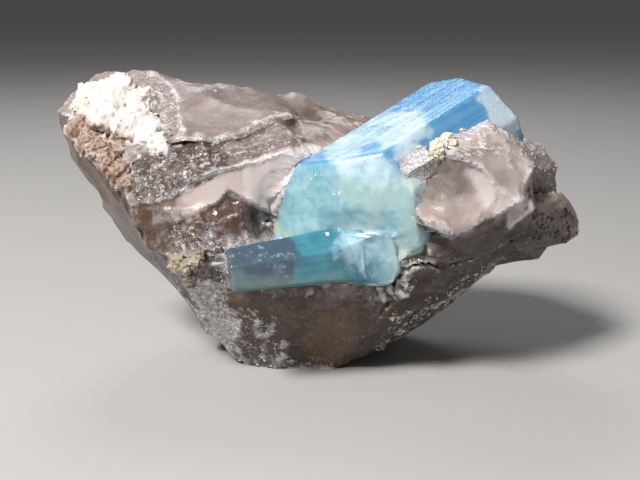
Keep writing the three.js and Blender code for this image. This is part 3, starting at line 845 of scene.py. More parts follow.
class Graph:
    """A finish's nodes, made from plain calls."""

    def __init__(self, name: str) -> None:
        """Starts an empty finish that knows where each point is, in millimetres.

        Args:
            name: the finish's name.
        """
        self.material = bpy.data.materials.new(name)
        self.material.use_nodes = True
        self.tree = self.material.node_tree
        self.tree.nodes.clear()
        self.output = self.node("ShaderNodeOutputMaterial")
        where = self.node("ShaderNodeTexCoord").outputs["Object"]
        scaled = self.node("ShaderNodeVectorMath", {"operation": "SCALE"}, {0: where, "Scale": 1 / MM})
        self.spot = scaled.outputs[0]

    def node(
        self, kind: str, settings: Optional[dict] = None, values: Optional[dict] = None
    ) -> bpy.types.Node:
        """Adds a node.

        Args:
            kind: the node's type.
            settings: its settings, which are made first.
            values: plain values or links for its sockets, by name or by number.

        Returns:
            The node.
        """
        made = self.tree.nodes.new(kind)
        for name, value in (settings or {}).items():
            setattr(made, name, value)
        for name, value in (values or {}).items():
            socket = made.inputs[name]
            if isinstance(value, Amount):
                value = value.socket
            if isinstance(value, bpy.types.NodeSocket):
                self.tree.links.new(value, socket)
            elif isinstance(value, tuple) and socket.type == "RGBA":
                socket.default_value = (*value, 1)
            else:
                socket.default_value = value
        return made

    def known(self, name: str) -> Amount:
        """A number that the piece's points carry."""
        return Amount(self, self.node("ShaderNodeAttribute", {"attribute_name": name}).outputs["Fac"])

    def stretched(self, scales: Place, turn: Place = (0, 0, 0)) -> bpy.types.NodeSocket:
        """Turns and stretches the place that a pattern reads.

        Args:
            scales: what the turned place is multiplied by, along each axis.
            turn: the turn about each axis, in degrees.

        Returns:
            The new place.
        """
        settings = {"vector_type": "POINT"}
        angles = tuple(math.radians(angle) for angle in turn)
        turned = self.node("ShaderNodeMapping", settings, {"Vector": self.spot, "Rotation": angles})
        node = self.node("ShaderNodeMapping", settings, {"Vector": turned.outputs[0], "Scale": scales})
        return node.outputs[0]

    def noise(
        self,
        size: float,
        detail: float = 3.0,
        rough: float = 0.55,
        bend: float = 0.0,
        spot: Optional[bpy.types.NodeSocket] = None,
    ) -> Amount:
        """Cloudy noise, from 0 to 1.

        Args:
            size: millimetres over which it changes.
            detail: how many finer layers it has.
            rough: how strong the finer layers are.
            bend: how far it is drawn out into swirls.
            spot: the place that it reads, which is the point's own if left out.

        Returns:
            The noise.
        """
        values = {
            "Vector": spot or self.spot, "Scale": 1 / size, "Detail": detail,
            "Roughness": rough, "Distortion": bend,
        }
        return Amount(self, self.node("ShaderNodeTexNoise", {}, values).outputs["Fac"])

    def cells(self, size: float, spot: Optional[bpy.types.NodeSocket] = None) -> Amount:
        """Distance to the nearest of scattered points.

        Args:
            size: the usual distance between them, in millimetres.
            spot: the place that it reads, which is the point's own if left out.

        Returns:
            The distance, as a share of the size.
        """
        values = {"Vector": spot or self.spot, "Scale": 1 / size}
        return Amount(self, self.node("ShaderNodeTexVoronoi", {"feature": "F1"}, values).outputs["Distance"])

    def mix(self, share: Number, first: Link, second: Link) -> bpy.types.NodeSocket:
        """Goes from the first colour to the second as the share goes from 0 to 1."""
        node = self.node("ShaderNodeMix", {"data_type": "RGBA"}, {0: share, 6: first, 7: second})
        return node.outputs[2]

    def bump(self, height: Amount, distance: float) -> bpy.types.NodeSocket:
        """Fine relief, its full height given in millimetres."""
        node = self.node("ShaderNodeBump", {}, {"Height": height, "Distance": distance * MM})
        return node.outputs["Normal"]

    def surface(self, values: dict) -> bpy.types.NodeSocket:
        """A glossy surface with these socket values."""
        return self.node("ShaderNodeBsdfPrincipled", {}, values).outputs[0]

    def finish(self, shader: bpy.types.NodeSocket) -> None:
        """Gives the finish its surface."""
        self.tree.links.new(shader, self.output.inputs["Surface"])

    def half_clear(self, gem: "Gem", body: dict, normal: bpy.types.NodeSocket, share: Amount) -> None:
        """Gives the finish a cloudy surface that is clear in part, and its inside.

        Args:
            gem: the clear mineral.
            body: the socket values of the cloudy surface.
            normal: the fine relief of both.
            share: how clear it is, from 0 to 1.
        """
        shared = {"Normal": normal, "IOR": gem.refraction}
        cloudy = self.surface({**body, **shared})
        clear = {"Base Color": gem.clear, "Roughness": gem.rough, "Transmission Weight": 1.0}
        both = {0: share, 1: cloudy, 2: self.surface({**clear, **shared})}
        self.finish(self.node("ShaderNodeMixShader", {}, both).outputs[0])
        inside = {"Color": gem.tint, "Density": gem.density}
        volume = self.node("ShaderNodeVolumeAbsorption", {}, inside)
        self.tree.links.new(volume.outputs[0], self.output.inputs["Volume"])


@dataclass(frozen=True)
class Gem:
    """A clear mineral: how it bends light, the tint that its inside gives, and its clear surface."""

    refraction: float
    tint: Colour
    density: float  # how strong the tint is in a metre
    clear: Colour
    rough: float


@dataclass(frozen=True)
class QuartzFinish:
    """Smoky quartz: glassy, cloudy, pinkish grey-brown, with whitish bruises, frost, painted light and
    painted shade.
    """

    smoky: Colour = (0.098, 0.058, 0.041)
    # The pale and milk colours also serve as painted light.
    pale: Colour = (0.74, 0.60, 0.55)
    veil: Colour = (0.83, 0.77, 0.79)
    milk: Colour = (0.86, 0.77, 0.755)
    bruise: Colour = (0.84, 0.81, 0.82)
    frost: Colour = (0.86, 0.85, 0.86)
    rust: Colour = (0.23, 0.125, 0.055)
    green: Colour = (0.30, 0.31, 0.22)
    shade: Colour = (0.022, 0.015, 0.010)
    speck: Colour = (0.012, 0.010, 0.010)
    gem: Gem = Gem(1.544, (0.78, 0.62, 0.50), 320.0, (0.97, 0.94, 0.92), 0.12)
    relief: float = 0.1

    def make(self) -> bpy.types.Material:
        """Makes the finish.

        Returns:
            Its material, which reads the numbers that Quartz.mark keeps.
        """
        g = Graph("smoky quartz")
        broad = g.noise(4.0, 5.0, 0.6, 0.8)
        mottle = g.noise(0.9, 5.0, 0.65, 0.8)
        fine = g.noise(0.2, 3.0, 0.6)
        coarse = g.known("coarse")
        # The stone itself, from smoky to pale and milky; the pale and milky shares are partly painted light.
        pale = (g.known("pale") + (broad - 0.5) * 0.5 + (mottle - 0.5) * 0.45 + (fine - 0.5) * 0.2).clamped()
        colour = g.mix(pale, self.smoky, self.pale)
        grit = g.noise(0.6, 5.0, 0.7, 0.5).between(0.42, 0.68)
        colour = g.mix((coarse * grit * 0.45).clamped(), colour, self.veil)
        veil = g.noise(1.8, 6.0, 0.7, 1.6).between(0.52, 0.72) * g.known("pale")
        colour = g.mix((veil * 0.7).clamped(), colour, self.veil)
        colour = g.mix((g.known("milk") * (0.55 + mottle * 0.6)).clamped(), colour, self.milk)
        colour = g.mix((g.known("green") * (0.5 + broad)).clamped(), colour, self.green)
        # Growth lines, painted shade and iron stains.
        lines = g.noise(0.5, 4.0, 0.65, 0.2, g.stretched((0.22, 1.0, 2.6), (0, 24, 0)))
        ruled = g.known("lines") * lines.between(0.45, 0.62)
        colour = g.mix((ruled * 0.45).clamped(), colour, self.smoky)
        colour = g.mix((g.known("shade") * (0.55 + broad * 0.7)).clamped(), colour, self.shade)
        colour = g.mix((g.known("rust") * (0.5 + broad)).clamped(), colour, self.rust)
        # Frost, streaks, bruises and dust, all of them whitish and matte.
        flecks = (g.noise(0.3, 5.0, 0.7, 1.2) + (mottle - 0.5) * 0.5).between(0.54, 0.6)
        frosted = (g.known("frost") * flecks).clamped()
        colour = g.mix(frosted, colour, self.frost)
        thin = g.noise(0.34, 3.0, 0.6, 0.6, g.stretched((0.45, 1.0, 2.2), (0, -8, 0)))
        streaked = (g.known("streaks") * thin.between(0.50, 0.57)).clamped()
        colour = g.mix(streaked, colour, self.frost)
        worn = (g.known("wear") * (0.25 + fine * 1.3)).clamped()
        colour = g.mix(worn * 0.75, colour, self.bruise)
        dust = (g.known("dust") * (0.35 + fine.between(0.4, 0.62) * 0.8)).clamped()
        colour = g.mix(dust, colour, self.frost)
        white = (frosted + dust + worn + streaked).clamped()
        # Dark specks on top.
        specks = g.known("specks") * g.cells(0.45).between(0.42, 0.3) * mottle.between(0.4, 0.46)
        colour = g.mix(specks.clamped(), colour, self.speck)
        rough = (0.10 + mottle * 0.16 + white * 0.4 + g.known("calm") * 0.18).clamped()
        shells = g.cells(1.5, g.stretched((1.0, 1.0, 1.0), (20, 30, 40)))
        height = mottle * (0.35 + coarse * 0.8) + shells * 0.5 + fine * (0.1 + white + coarse * 0.5)
        normal = g.bump(height + ruled * 0.35, self.relief)
        body = {
            "Base Color": colour, "Roughness": rough, "Specular IOR Level": 0.42,
            "Subsurface Weight": 0.2, "Subsurface Radius": (1.0, 0.62, 0.45), "Subsurface Scale": 0.9 * MM,
        }
        share = (g.known("clear") * (1 - white * 0.9)).clamped()
        g.half_clear(self.gem, body, normal, share)
        return g.material


@dataclass(frozen=True)
class AquamarineFinish:
    """Aquamarine: clear to cloudy beryl, its growth lines along the axis."""

    name: str
    face: Colour
    deep: Colour
    broken: Colour
    broken_deep: Colour = (0.24, 0.54, 0.63)
    third: Colour = (0.40, 0.40, 0.30)
    cloud: Colour = (0.73, 0.89, 0.95)
    green: Colour = (0.56, 0.70, 0.56)
    cream: Colour = (0.80, 0.76, 0.55)
    ruled: float = 1.0
    gem: Gem = Gem(1.577, (0.35, 0.74, 0.93), 120.0, (0.93, 0.98, 1.0), 0.1)
    relief: float = 0.05

    def make(self) -> bpy.types.Material:
        """Makes the finish.

        Returns:
            Its material, which reads the numbers that Crystal.mark keeps.
        """
        g = Graph(self.name)
        broken = g.known("broken")
        # The crystal's own colours, on its long faces and on its break.
        lines = g.node("ShaderNodeAttribute", {"attribute_name": "grain"}).outputs["Vector"]
        side = g.known("side") * self.ruled
        streak = g.noise(0.5, 4.0, 0.6, 0.3, lines) * side + g.noise(0.8, 4.0) * (1 - side)
        broad = g.noise(2.6, 4.0, 0.6, 0.8)
        mottle = g.noise(0.6, 5.0, 0.65, 0.6)
        face = g.mix((streak * 0.9 + (broad - 0.5) * 0.8).between(0.25, 0.75), self.deep, self.face)
        clot = g.noise(1.3, 6.0, 0.66, 0.4)
        colour = g.mix(broken, face, g.mix(clot.between(0.34, 0.6), self.broken_deep, self.broken))
        colour = g.mix((g.known("third") * (0.7 + mottle * 0.6)).clamped(), colour, self.third)
        # Clouds, cracks and stains in it.
        cloud = (g.known("cloud") + (broad - 0.5) * 0.8 + (mottle - 0.5) * 0.7).between(0.25, 1.0)
        colour = g.mix((cloud * 0.9).clamped(), colour, self.cloud)
        colour = g.mix((g.known("green") * (0.4 + broad)).clamped(), colour, self.green)
        crack = g.noise(0.9, 4.0, 0.6, 1.2, g.stretched((1.6, 1.0, 0.6), (0, 25, 0)))
        cracked = (g.known("cracked") * crack.between(0.46, 0.66)).clamped()
        colour = g.mix(cracked, colour, self.cloud)
        colour = g.mix((g.known("cream") * mottle.between(0.35, 0.6)).clamped(), colour, self.cream)
        # Frost and worn edges.
        flecks = g.noise(0.5, 5.0, 0.65, 0.2).between(0.54, 0.68)
        frosted = (g.known("frost") * flecks + g.known("wear") * 0.6).clamped()
        colour = g.mix(frosted, colour, self.cloud)
        rough = (0.17 + mottle * 0.14 + frosted * 0.35 + broken * 0.08).clamped()
        height = streak * (1 - broken) * 0.8 + mottle * 0.5 + flecks * g.known("frost") * 0.8
        normal = g.bump(height, self.relief)
        body = {
            "Base Color": colour, "Roughness": rough,
            "Subsurface Weight": 0.3, "Subsurface Radius": (0.45, 0.9, 1.0), "Subsurface Scale": 1.6 * MM,
        }
        share = (g.known("clear") * (1 - (frosted + cracked + cloud * 0.6) * 0.9)).clamped()
        g.half_clear(self.gem, body, normal, share)
        return g.material


@dataclass(frozen=True)
class FeldsparFinish:
    """Feldspar: matte and crumbly, white to cream, with rusty cracks."""

    name: str
    white: Colour
    cream: Colour
    rust: Colour = (0.27, 0.16, 0.105)
    relief: float = 0.06

    def make(self) -> bpy.types.Material:
        """Makes the finish.

        Returns:
            Its material, which reads the numbers that Crust.build keeps.
        """
        g = Graph(self.name)
        broad = g.noise(1.4, 4.0, 0.6)
        fine = g.noise(0.25, 4.0, 0.65)
        colour = g.mix(broad.between(0.35, 0.7), self.white, self.cream)
        rusty = (g.known("rust") * (0.25 + broad * 0.9) + (g.known("rust") * g.known("dent"))).clamped()
        colour = g.mix(rusty, colour, self.rust)
        rough = 0.55 + fine * 0.3
        normal = g.bump(fine, self.relief)
        g.finish(g.surface({
            "Base Color": colour, "Roughness": rough, "Normal": normal,
            "Subsurface Weight": 0.15, "Subsurface Radius": (1.0, 0.8, 0.6), "Subsurface Scale": 0.5 * MM,
        }))
        return g.material


@dataclass(frozen=True)
class GrainFinish:
    """Loose grains and dust: one matte colour, varied from grain to grain."""

    name: str
    first: Colour
    second: Colour
    rough: float = 0.5

    def make(self) -> bpy.types.Material:
        """Makes the finish.

        Returns:
            Its material.
        """
        g = Graph(self.name)
        colour = g.mix(g.noise(0.8, 2.0).between(0.35, 0.65), self.first, self.second)
        rough = g.noise(0.2, 3.0) * 0.3 + self.rough
        g.finish(g.surface({"Base Color": colour, "Roughness": rough}))
        return g.material


# ---------------------------------------------------------------- pieces


def own_piece(
    name: str, made: bmesh.types.BMesh, material: bpy.types.Material, node: Optional[str]
) -> bpy.types.Object:
    """Makes an object of a mesh and ties it to the frame.

    Args:
        name: the piece's name.
        made: its shape, which is freed.
        material: its finish.
        node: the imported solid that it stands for, if any.

    Returns:
        The object.
    """
    mesh = bpy.data.meshes.new(name)
    made.to_mesh(mesh)
    made.free()
    mesh.materials.append(material)
    mesh.shade_smooth()
    piece = bpy.data.objects.new(name, mesh)
    bpy.context.scene.collection.objects.link(piece)
    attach(piece, "root")
    if node:
        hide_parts(node)
    return piece


def solid_copy(node: str) -> bmesh.types.BMesh:
    """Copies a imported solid.

    Args:
        node: the solid's name.

    Returns:
        Its shape, with the corners that lie on each other merged.
    """
    made = bmesh.new()
    made.from_mesh(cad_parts[node].data)
    bmesh.ops.remove_doubles(made, verts=made.verts, dist=WELD * MM)
    return made


def remeshed(piece: bpy.types.Object, spacing: float) -> Skin:
    """Covers a piece with an even mesh that keeps its creases.

    Args:
        piece: the object, whose mesh is replaced.
        spacing: the new mesh's spacing in millimetres.

    Returns:
        The piece's new surface.
    """
    cells = max(piece.dimensions) / (spacing * MM)
    remesh = piece.modifiers.new("even", "REMESH")
    remesh.mode = "SHARP"
    remesh.octree_depth = math.ceil(math.log2(cells / REMESH_FILL))
    remesh.scale = cells / 2**remesh.octree_depth
    shape = bpy.data.meshes.new_from_object(piece.evaluated_get(bpy.context.evaluated_depsgraph_get()))
    piece.modifiers.clear()
    shape.materials.clear()
    shape.materials.append(piece.data.materials[0])
    piece.data = shape
    shape.name = piece.name
    shape.shade_smooth()
    return Skin(piece)


@dataclass(frozen=True)
class Crumbs:
    """Loose or grown-on grains scattered over a surface, joined as one piece."""

    name: str
    slot: Slot
    washes: tuple[Wash, ...]
    count: int
    sizes: Span
    sink: float = 0.3
    flat: float = 0.7
    seed: int = 1
    rarity: float = 3.5  # the higher, the fewer of the grains are large
    lengths: Span = (1.0, 1.9)
    widths: Span = (0.5, 1.0)
    rough: float = 0.22

    def build(self, skin: Skin, material: bpy.types.Material) -> bpy.types.Object:
        """Scatters the grains.

        Args:
            skin: the surface that they lie on.
            material: their finish.

        Returns:
            The joined piece.
        """
        picker = random.Random(self.seed)
        total = np.cumsum(skin.weigh(self.washes))
        made = bmesh.new()
        for _ in range(self.count):
            at = int(np.searchsorted(total, picker.random() * total[-1]))
            radius = self.sizes[0] + (self.sizes[1] - self.sizes[0]) * picker.random() ** self.rarity
            normal = Vector(skin.normals[at])
            spot = Vector(skin.spots[at]) + normal * radius * (self.flat - self.sink)
            tilt = normal.to_track_quat("Z", "Y").to_matrix().to_4x4()
            spin = Matrix.Rotation(picker.uniform(0, math.tau), 4, "Z")
            sides = (picker.uniform(*self.lengths), picker.uniform(*self.widths), self.flat, 1)
            squeeze = Matrix.Diagonal(sides)
            place = Matrix.Translation(spot * MM) @ tilt @ spin @ squeeze
            grown = bmesh.ops.create_icosphere(made, subdivisions=1, radius=radius * MM, matrix=place)
            for vert in grown["verts"]:
                jolt = [picker.uniform(-self.rough, self.rough) * radius * MM for _ in range(3)]
                vert.co = Vector(np.clip(vert.co + Vector(jolt), *CAD_BOX))
        piece = own_piece(self.name, made, material, None)
        piece.data.shade_flat()
        return piece


@dataclass
class Quartz:
    """The lump of smoky quartz."""

    node: str = "smoky_quartz"
    slot: Slot = Slot.SMOKY_QUARTZ
    name: str = "Smoky_quartz"
    finish: QuartzFinish = QuartzFinish()
    spacing: float = 0.21
    foot: float = 0.12  # up to here, the break that the stone stands on stays as it is
    swell: float = 0.05
    swells: tuple[Layer, ...] = (Layer(1.5, 1.0, 1.0), Layer(0.6, 0.5, 2.0))
    grit: tuple[Layer, ...] = (Layer(0.9, 1.0, 12.0), Layer(0.45, 0.8, 13.0))
    grit_height: float = 1.4  # against the swells, where the stone is coarse
    calmed: float = 0.7  # how much lower the swells are where the stone is calm
    chips: int = 700
    chip_radii: Span = (1.2, 6.0)
    chip_depths: Span = (0.06, 0.3)
    chip_rarity: float = 1.6  # the higher, the fewer of the chips are large
    chip_lean: float = 0.3
    chip_ripple: float = 0.008
    chip_seed: int = 11
    calmest: float = 0.3  # where the stone is calmer than this, it isn't chipped
    nicks: Chips = Chips(320, (0.5, 1.6), (0.04, 0.14), 0.7, 0.0, 23)
    ridge: float = 0.08  # what stands out further than this is a sharp ridge
    deepest: float = 0.35
    smoothings: tuple[Smoothing, ...] = (
        Smoothing(NOTCH, 0.95, 160, 1.1),
        Smoothing((UPPER_LEDGE,), 0.8, 25, 0.3),
    )
    contact: float = 0.8
    crust_contact: float = 0.4
    seam: tuple[Layer, ...] = (Layer(0.7, 1.0, 15.0), Layer(0.35, 1.0, 16.0))
    seam_height: float = 0.05  # how uneven the quartz is along the crystals
    growth_rise: float = 24.0  # how far the growth steps climb to the right, in degrees
    growth_pitch: float = 0.62
    growth_height: float = 0.16
    sharp: float = 34.0  # edges that turn by more degrees than this are sharp

    def build(self, crystals: Sequence[Skin], crusts: Sequence[Skin]) -> Skin:
        """Shapes the lump.

        Args:
            crystals: the finished crystals that it grips.
            crusts: the finished crusts and grains that sit on it.

        Returns:
            The lump's surface, with its numbers for the finish.
        """
        piece = own_piece(self.name, solid_copy(self.node), self.finish.make(), self.node)
        skin = remeshed(piece, self.spacing)
        calm = skin.weigh(CALM)
        gap, towards = skin.gaps(crystals, self.contact * 2)
        crust_gap, crust_towards = skin.gaps(crusts, self.crust_contact * 2)
        base = skin.spots[:, 2] < self.foot
        skin.fixed = (base | (gap < self.contact) | (crust_gap < self.crust_contact)).astype(float)
        whole = skin.spots.copy()
        self.swell_out(skin, calm)
        self.fracture(skin, calm)
        self.nick_ridges(skin, calm)
        skin.limit_loss(whole, self.deepest)
        for smoothing in self.smoothings:
            smoothing.apply(skin)
        self.fold(skin)
        skin.draw_to(gap, towards, self.contact)
        skin.draw_to(crust_gap, crust_towards, self.crust_contact)
        drawn = smooth_step(gap, self.contact * 0.2, self.contact) * (gap < self.contact * 2)
        skin.push(drawn * uneven(skin.spots, self.seam) * self.seam_height)
        skin.keep_in(self.node)
        skin.write()
        self.mark(skin, np.minimum(gap, crust_gap))
        skin.crease(self.sharp)
        return skin

    def swell_out(self, skin: Skin, calm: np.ndarray) -> None:
        """Makes the surface uneven, most of all where it is coarse.

        Args:
            skin: the lump's surface.
            calm: how smooth each point stays, from 0 to 1.
        """
        free = (1 - skin.fixed) * (1 - calm * self.calmed)
        lift = uneven(skin.spots, self.swells)
        lift = lift + skin.weigh(COARSE) * self.grit_height * uneven(skin.spots, self.grit)
        skin.push(lift * self.swell * free)

    def fracture(self, skin: Skin, calm: np.ndarray) -> None:
        """Breaks shell-shaped chips out of the surface, few of them large.

        Args:
            skin: the lump's surface.
            calm: how smooth each point stays, from 0 to 1.
        """
        picker = random.Random(self.chip_seed)
        least, most = self.chip_radii
        shallow, deep = self.chip_depths
        for _ in range(self.chips):
            at = picker.randrange(skin.count)
            share = picker.random() ** self.chip_rarity
            radius = least + (most - least) * share
            depth = shallow + (deep - shallow) * picker.random() * share
            if skin.fixed[at] or calm[at] > self.calmest:
                continue
            skin.chip(at, radius, depth, self.chip_lean, self.chip_ripple, picker)

    def nick_ridges(self, skin: Skin, calm: np.ndarray) -> None:
        """Nibbles the sharp ridges.

        Args:
            skin: the lump's surface.
            calm: how smooth each point stays, from 0 to 1.
        """
        skin.write()
        free = (skin.fixed < 0.5) & (calm < self.calmest)
        self.nicks.strike(skin, np.flatnonzero((skin.standing(6) > self.ridge) & free))

    def fold(self, skin: Skin) -> None:
        """Raises the crests and steps between the broken faces, and the growth steps.

        Args:
            skin: the lump's surface.
        """
        lift = sum(fold.lift(skin) for fold in FOLDS)
        rise = np.radians(self.growth_rise)
        across = skin.spots @ np.array([-math.sin(rise), 0.15, math.cos(rise)])
        steps = np.abs(((across + drift(skin.spots, 2.2, 3.0) * 0.5) / self.growth_pitch) % 1 - 0.5)
        lift = lift + skin.weigh(STEPPED) * (steps - 0.25) * self.growth_height
        skin.push(lift * (1 - skin.fixed))

    def mark(self, skin: Skin, gap: np.ndarray) -> None:
        """Works out the numbers that the finish reads.

        Args:
            skin: the lump's surface.
            gap: each point's distance from the next mineral, in millimetres.
        """
        calm = skin.weigh(CALM)
        milk = skin.weigh(MILKY_AND_LIT)
        # Painted light: faces that turn up are made paler.
        up = smooth_step(skin.normals[:, 2], -0.45, 0.5)
        # Painted shade: faces that turn down are darkened, less where the stone is milky.
        under = smooth_step(-skin.normals[:, 2], 0.0, 0.75)
        away = (1 - shown(skin)) * drift(skin.spots, 3.5, 11.0)
        wear = smooth_step(skin.standing(3), 0.025, 0.09) * (1 - 0.5 * calm)
        shade = np.clip(skin.weigh(SHADED) + 0.9 * under * (1 - milk), 0, 1)
        beside = 0.25 * (1 - smooth_step(gap, 0.1, 0.7))
        numbers = {
            "pale": 0.04 + 0.45 * up + 1.2 * skin.weigh(PALE_AND_LIT) - skin.weigh(BROWN) + 0.6 * away,
            "wear": np.maximum(wear, np.max([fold.bruise(skin) for fold in FOLDS], axis=0)),
            "milk": milk,
            "shade": shade,
            "rust": skin.weigh(RUSTY),
            "green": skin.weigh(GREENISH),
            "frost": skin.weigh(FROSTED) + 0.08 - 1.5 * np.minimum(away, 0),
            "dust": skin.weigh(DUSTY) + beside,
            "streaks": skin.weigh(STREAKED),
            "lines": skin.weigh(STEPPED),
            "calm": calm,
            "coarse": skin.weigh(COARSE),
            "specks": skin.weigh(SPECKED),
            # Less clear under the painted shade, which darkens it further.
            "clear": 0.2 + 0.3 * calm - 0.4 * milk - 0.1 * shade,
        }
        for name, values in numbers.items():
            skin.remember(name, np.clip(values, 0, 1))


@dataclass
class Crystal:
    """An aquamarine: a six-sided prism with growth lines along its axis."""

    node: str
    slot: Slot
    name: str
    azimuth: float
    rise: float
    spacing: float
    finish: AquamarineFinish
    clear: float
    broken_clear: float
    clouds: tuple[Wash, ...]
    greens: tuple[Wash, ...]
    creams: tuple[Wash, ...]
    frosts: tuple[Wash, ...]
    thirds: tuple[Wash, ...]
    broken_areas: tuple[Wash, ...]
    cracks: tuple[Wash, ...] = ()
    groove: float = 0.022
    grooves: tuple[Layer, ...] = (Layer(0.3, 1.0, 3.0), Layer(0.7, 0.8, 5.0))
    groove_along: float = 0.08  # how fast the grooves change along the crystal, where around it is 1
    swells: tuple[Layer, ...] = (Layer(1.3, 0.04, 6.0), Layer(0.5, 0.02, 8.0))
    worn: float = 0.05
    broken_end: bool = True
    break_chips: Chips = Chips(70, (1.2, 5.0), (0.03, 0.1), 0.2, 0.01, 7)
    break_deepest: float = 0.2
    round_edge: tuple[Point, ...] = ((-1.4, 6.0), (3.4, 6.4), (6.2, 7.2))
    sink_from: float = 1.2
    sunk: float = 0.25
    roll: float = 5.0  # the radius at which the faces are laid out flat
    sharp: float = 40.0  # edges that turn by more degrees than this are sharp

    def axis(self) -> np.ndarray:
        """The way that the crystal grew.

        Returns:
            A row of length 1 along its axis.
        """
        azimuth, rise = math.radians(self.azimuth), math.radians(self.rise)
        level = math.cos(rise)
        return np.array([level * math.cos(azimuth), level * math.sin(azimuth), math.sin(rise)])

    def build(self, other: Optional[Skin] = None) -> Skin:
        """Shapes the crystal.

        Args:
            other: the crystal that it grew into, if any.

        Returns:
            Its surface.
        """
        piece = own_piece(self.name, solid_copy(self.node), self.finish.make(), self.node)
        skin = remeshed(piece, self.spacing)
        along, around = self.unroll(skin)
        broken, flat = self.facing(skin)
        grain = np.stack([along * self.groove_along, around, np.zeros(skin.count)], 1)
        grooves = uneven(grain, self.grooves) * self.groove * flat
        swell = uneven(skin.spots, self.swells) * (1 - flat * 0.6)
        edge = smooth_step(skin.standing(3), 0.01, 0.05)
        skin.push(grooves + swell - edge * self.worn)
        if self.broken_end:
            self.break_off(skin, broken)
        skin.keep_in(self.node)
        if other:
            self.meet(skin, other, along)
        skin.write()
        return skin

    def unroll(self, skin: Skin) -> tuple[np.ndarray, np.ndarray]:
        """Lays the crystal's faces out flat.

        Args:
            skin: the crystal's surface.

        Returns:
            The place of each point along and around the crystal, in millimetres.
        """
        axis = self.axis()
        low, high = box_of(self.node)
        away = skin.spots - (low + high) / 2
        side = np.cross(axis, [0.0, 0.0, 1.0])
        side /= np.linalg.norm(side)
        top = np.cross(side, axis)
        return away @ axis, np.arctan2(away @ side, away @ top) * self.roll

    def facing(self, skin: Skin) -> tuple[np.ndarray, np.ndarray]:
        """Tells the crystal's break from its long faces.

        Args:
            skin: the crystal's surface.

        Returns:
            How far each point belongs to the break, and to the long faces, from 0 to 1.
        """
        ends = skin.normals @ self.axis()
        broken = smooth_step(-ends, 0.35, 0.6) if self.broken_end else np.zeros(skin.count)
        return np.maximum(broken, skin.weigh(self.broken_areas)), 1 - smooth_step(np.abs(ends), 0.15, 0.4)

    def mark(self, skin: Skin) -> None:
        """Keeps the numbers that the finish reads, once the crystal's shape is done.

        Args:
            skin: the crystal's surface.
        """
        along, around = self.unroll(skin)
        broken, flat = self.facing(skin)
        attribute = skin.mesh.attributes.new("grain", "FLOAT_VECTOR", "POINT")
        rows = np.stack([along * 0.1, around, np.zeros(skin.count)], 1)
        attribute.data.foreach_set("vector", rows.astype(np.float32).ravel())
        wear = smooth_step(skin.standing(5), 0.04, 0.14)
        numbers = {
            "broken": skin.softened(broken, 14),
            "side": skin.softened(flat, 3),
            "wear": wear if self.broken_end else wear * (1 - smooth_step(along, 1.0, 3.0)),
            "cloud": skin.weigh(self.clouds),
            "green": skin.weigh(self.greens),
            "cream": skin.weigh(self.creams),
            "cracked": skin.weigh(self.cracks),
            "frost": skin.weigh(self.frosts),
            "third": skin.weigh(self.thirds),
            "clear": self.clear + (self.broken_clear - self.clear) * broken,
        }
        for name, values in numbers.items():
            skin.remember(name, values)
        skin.crease(self.sharp)

    def break_off(self, skin: Skin, broken: np.ndarray) -> None:
        """Rounds the break's upper edge a little and gives it shallow shell-shaped hollows.

        Args:
            skin: the crystal's surface.
            broken: how far each point belongs to the break, from 0 to 1.
        """
        soft = skin.softened(skin.spots, 30)
        share = Wash(self.round_edge, 0.5, 1.4, 0.85).weigh(skin)
        skin.spots += (soft - skin.spots) * share[:, None]
        skin.write()
        whole = skin.spots.copy()
        self.break_chips.strike(skin, np.flatnonzero(broken > 0.5))
        skin.limit_loss(whole, self.break_deepest)

    def meet(self, skin: Skin, other: Skin, along: np.ndarray) -> None:
        """Rounds this crystal's far end and sinks it into the crystal that it grew into.

        Args:
            skin: the crystal's surface.
            other: the other crystal's surface.
            along: each point's place along this crystal, in millimetres.
        """
        soft = skin.softened(skin.spots, 30)
        skin.spots += (soft - skin.spots) * smooth_step(along, 3.8, 5.4)[:, None]
        tree = KDTree(other.count)
        for i, spot in enumerate(other.spots):
            tree.insert(Vector(spot), i)
        tree.balance()
        sink = smooth_step(along, self.sink_from, float(along.max()))
        for i in np.flatnonzero(sink > 0):
            found = tree.find(Vector(skin.spots[i]))
            way = found[0] - Vector(skin.spots[i]) - Vector(other.normals[found[1]]) * self.sunk
            skin.spots[i] += np.array(way) * sink[i]
        skin.write()
        skin.relax(smooth_step(along, 1.4, 2.6) * 0.7, 9, 0.15)


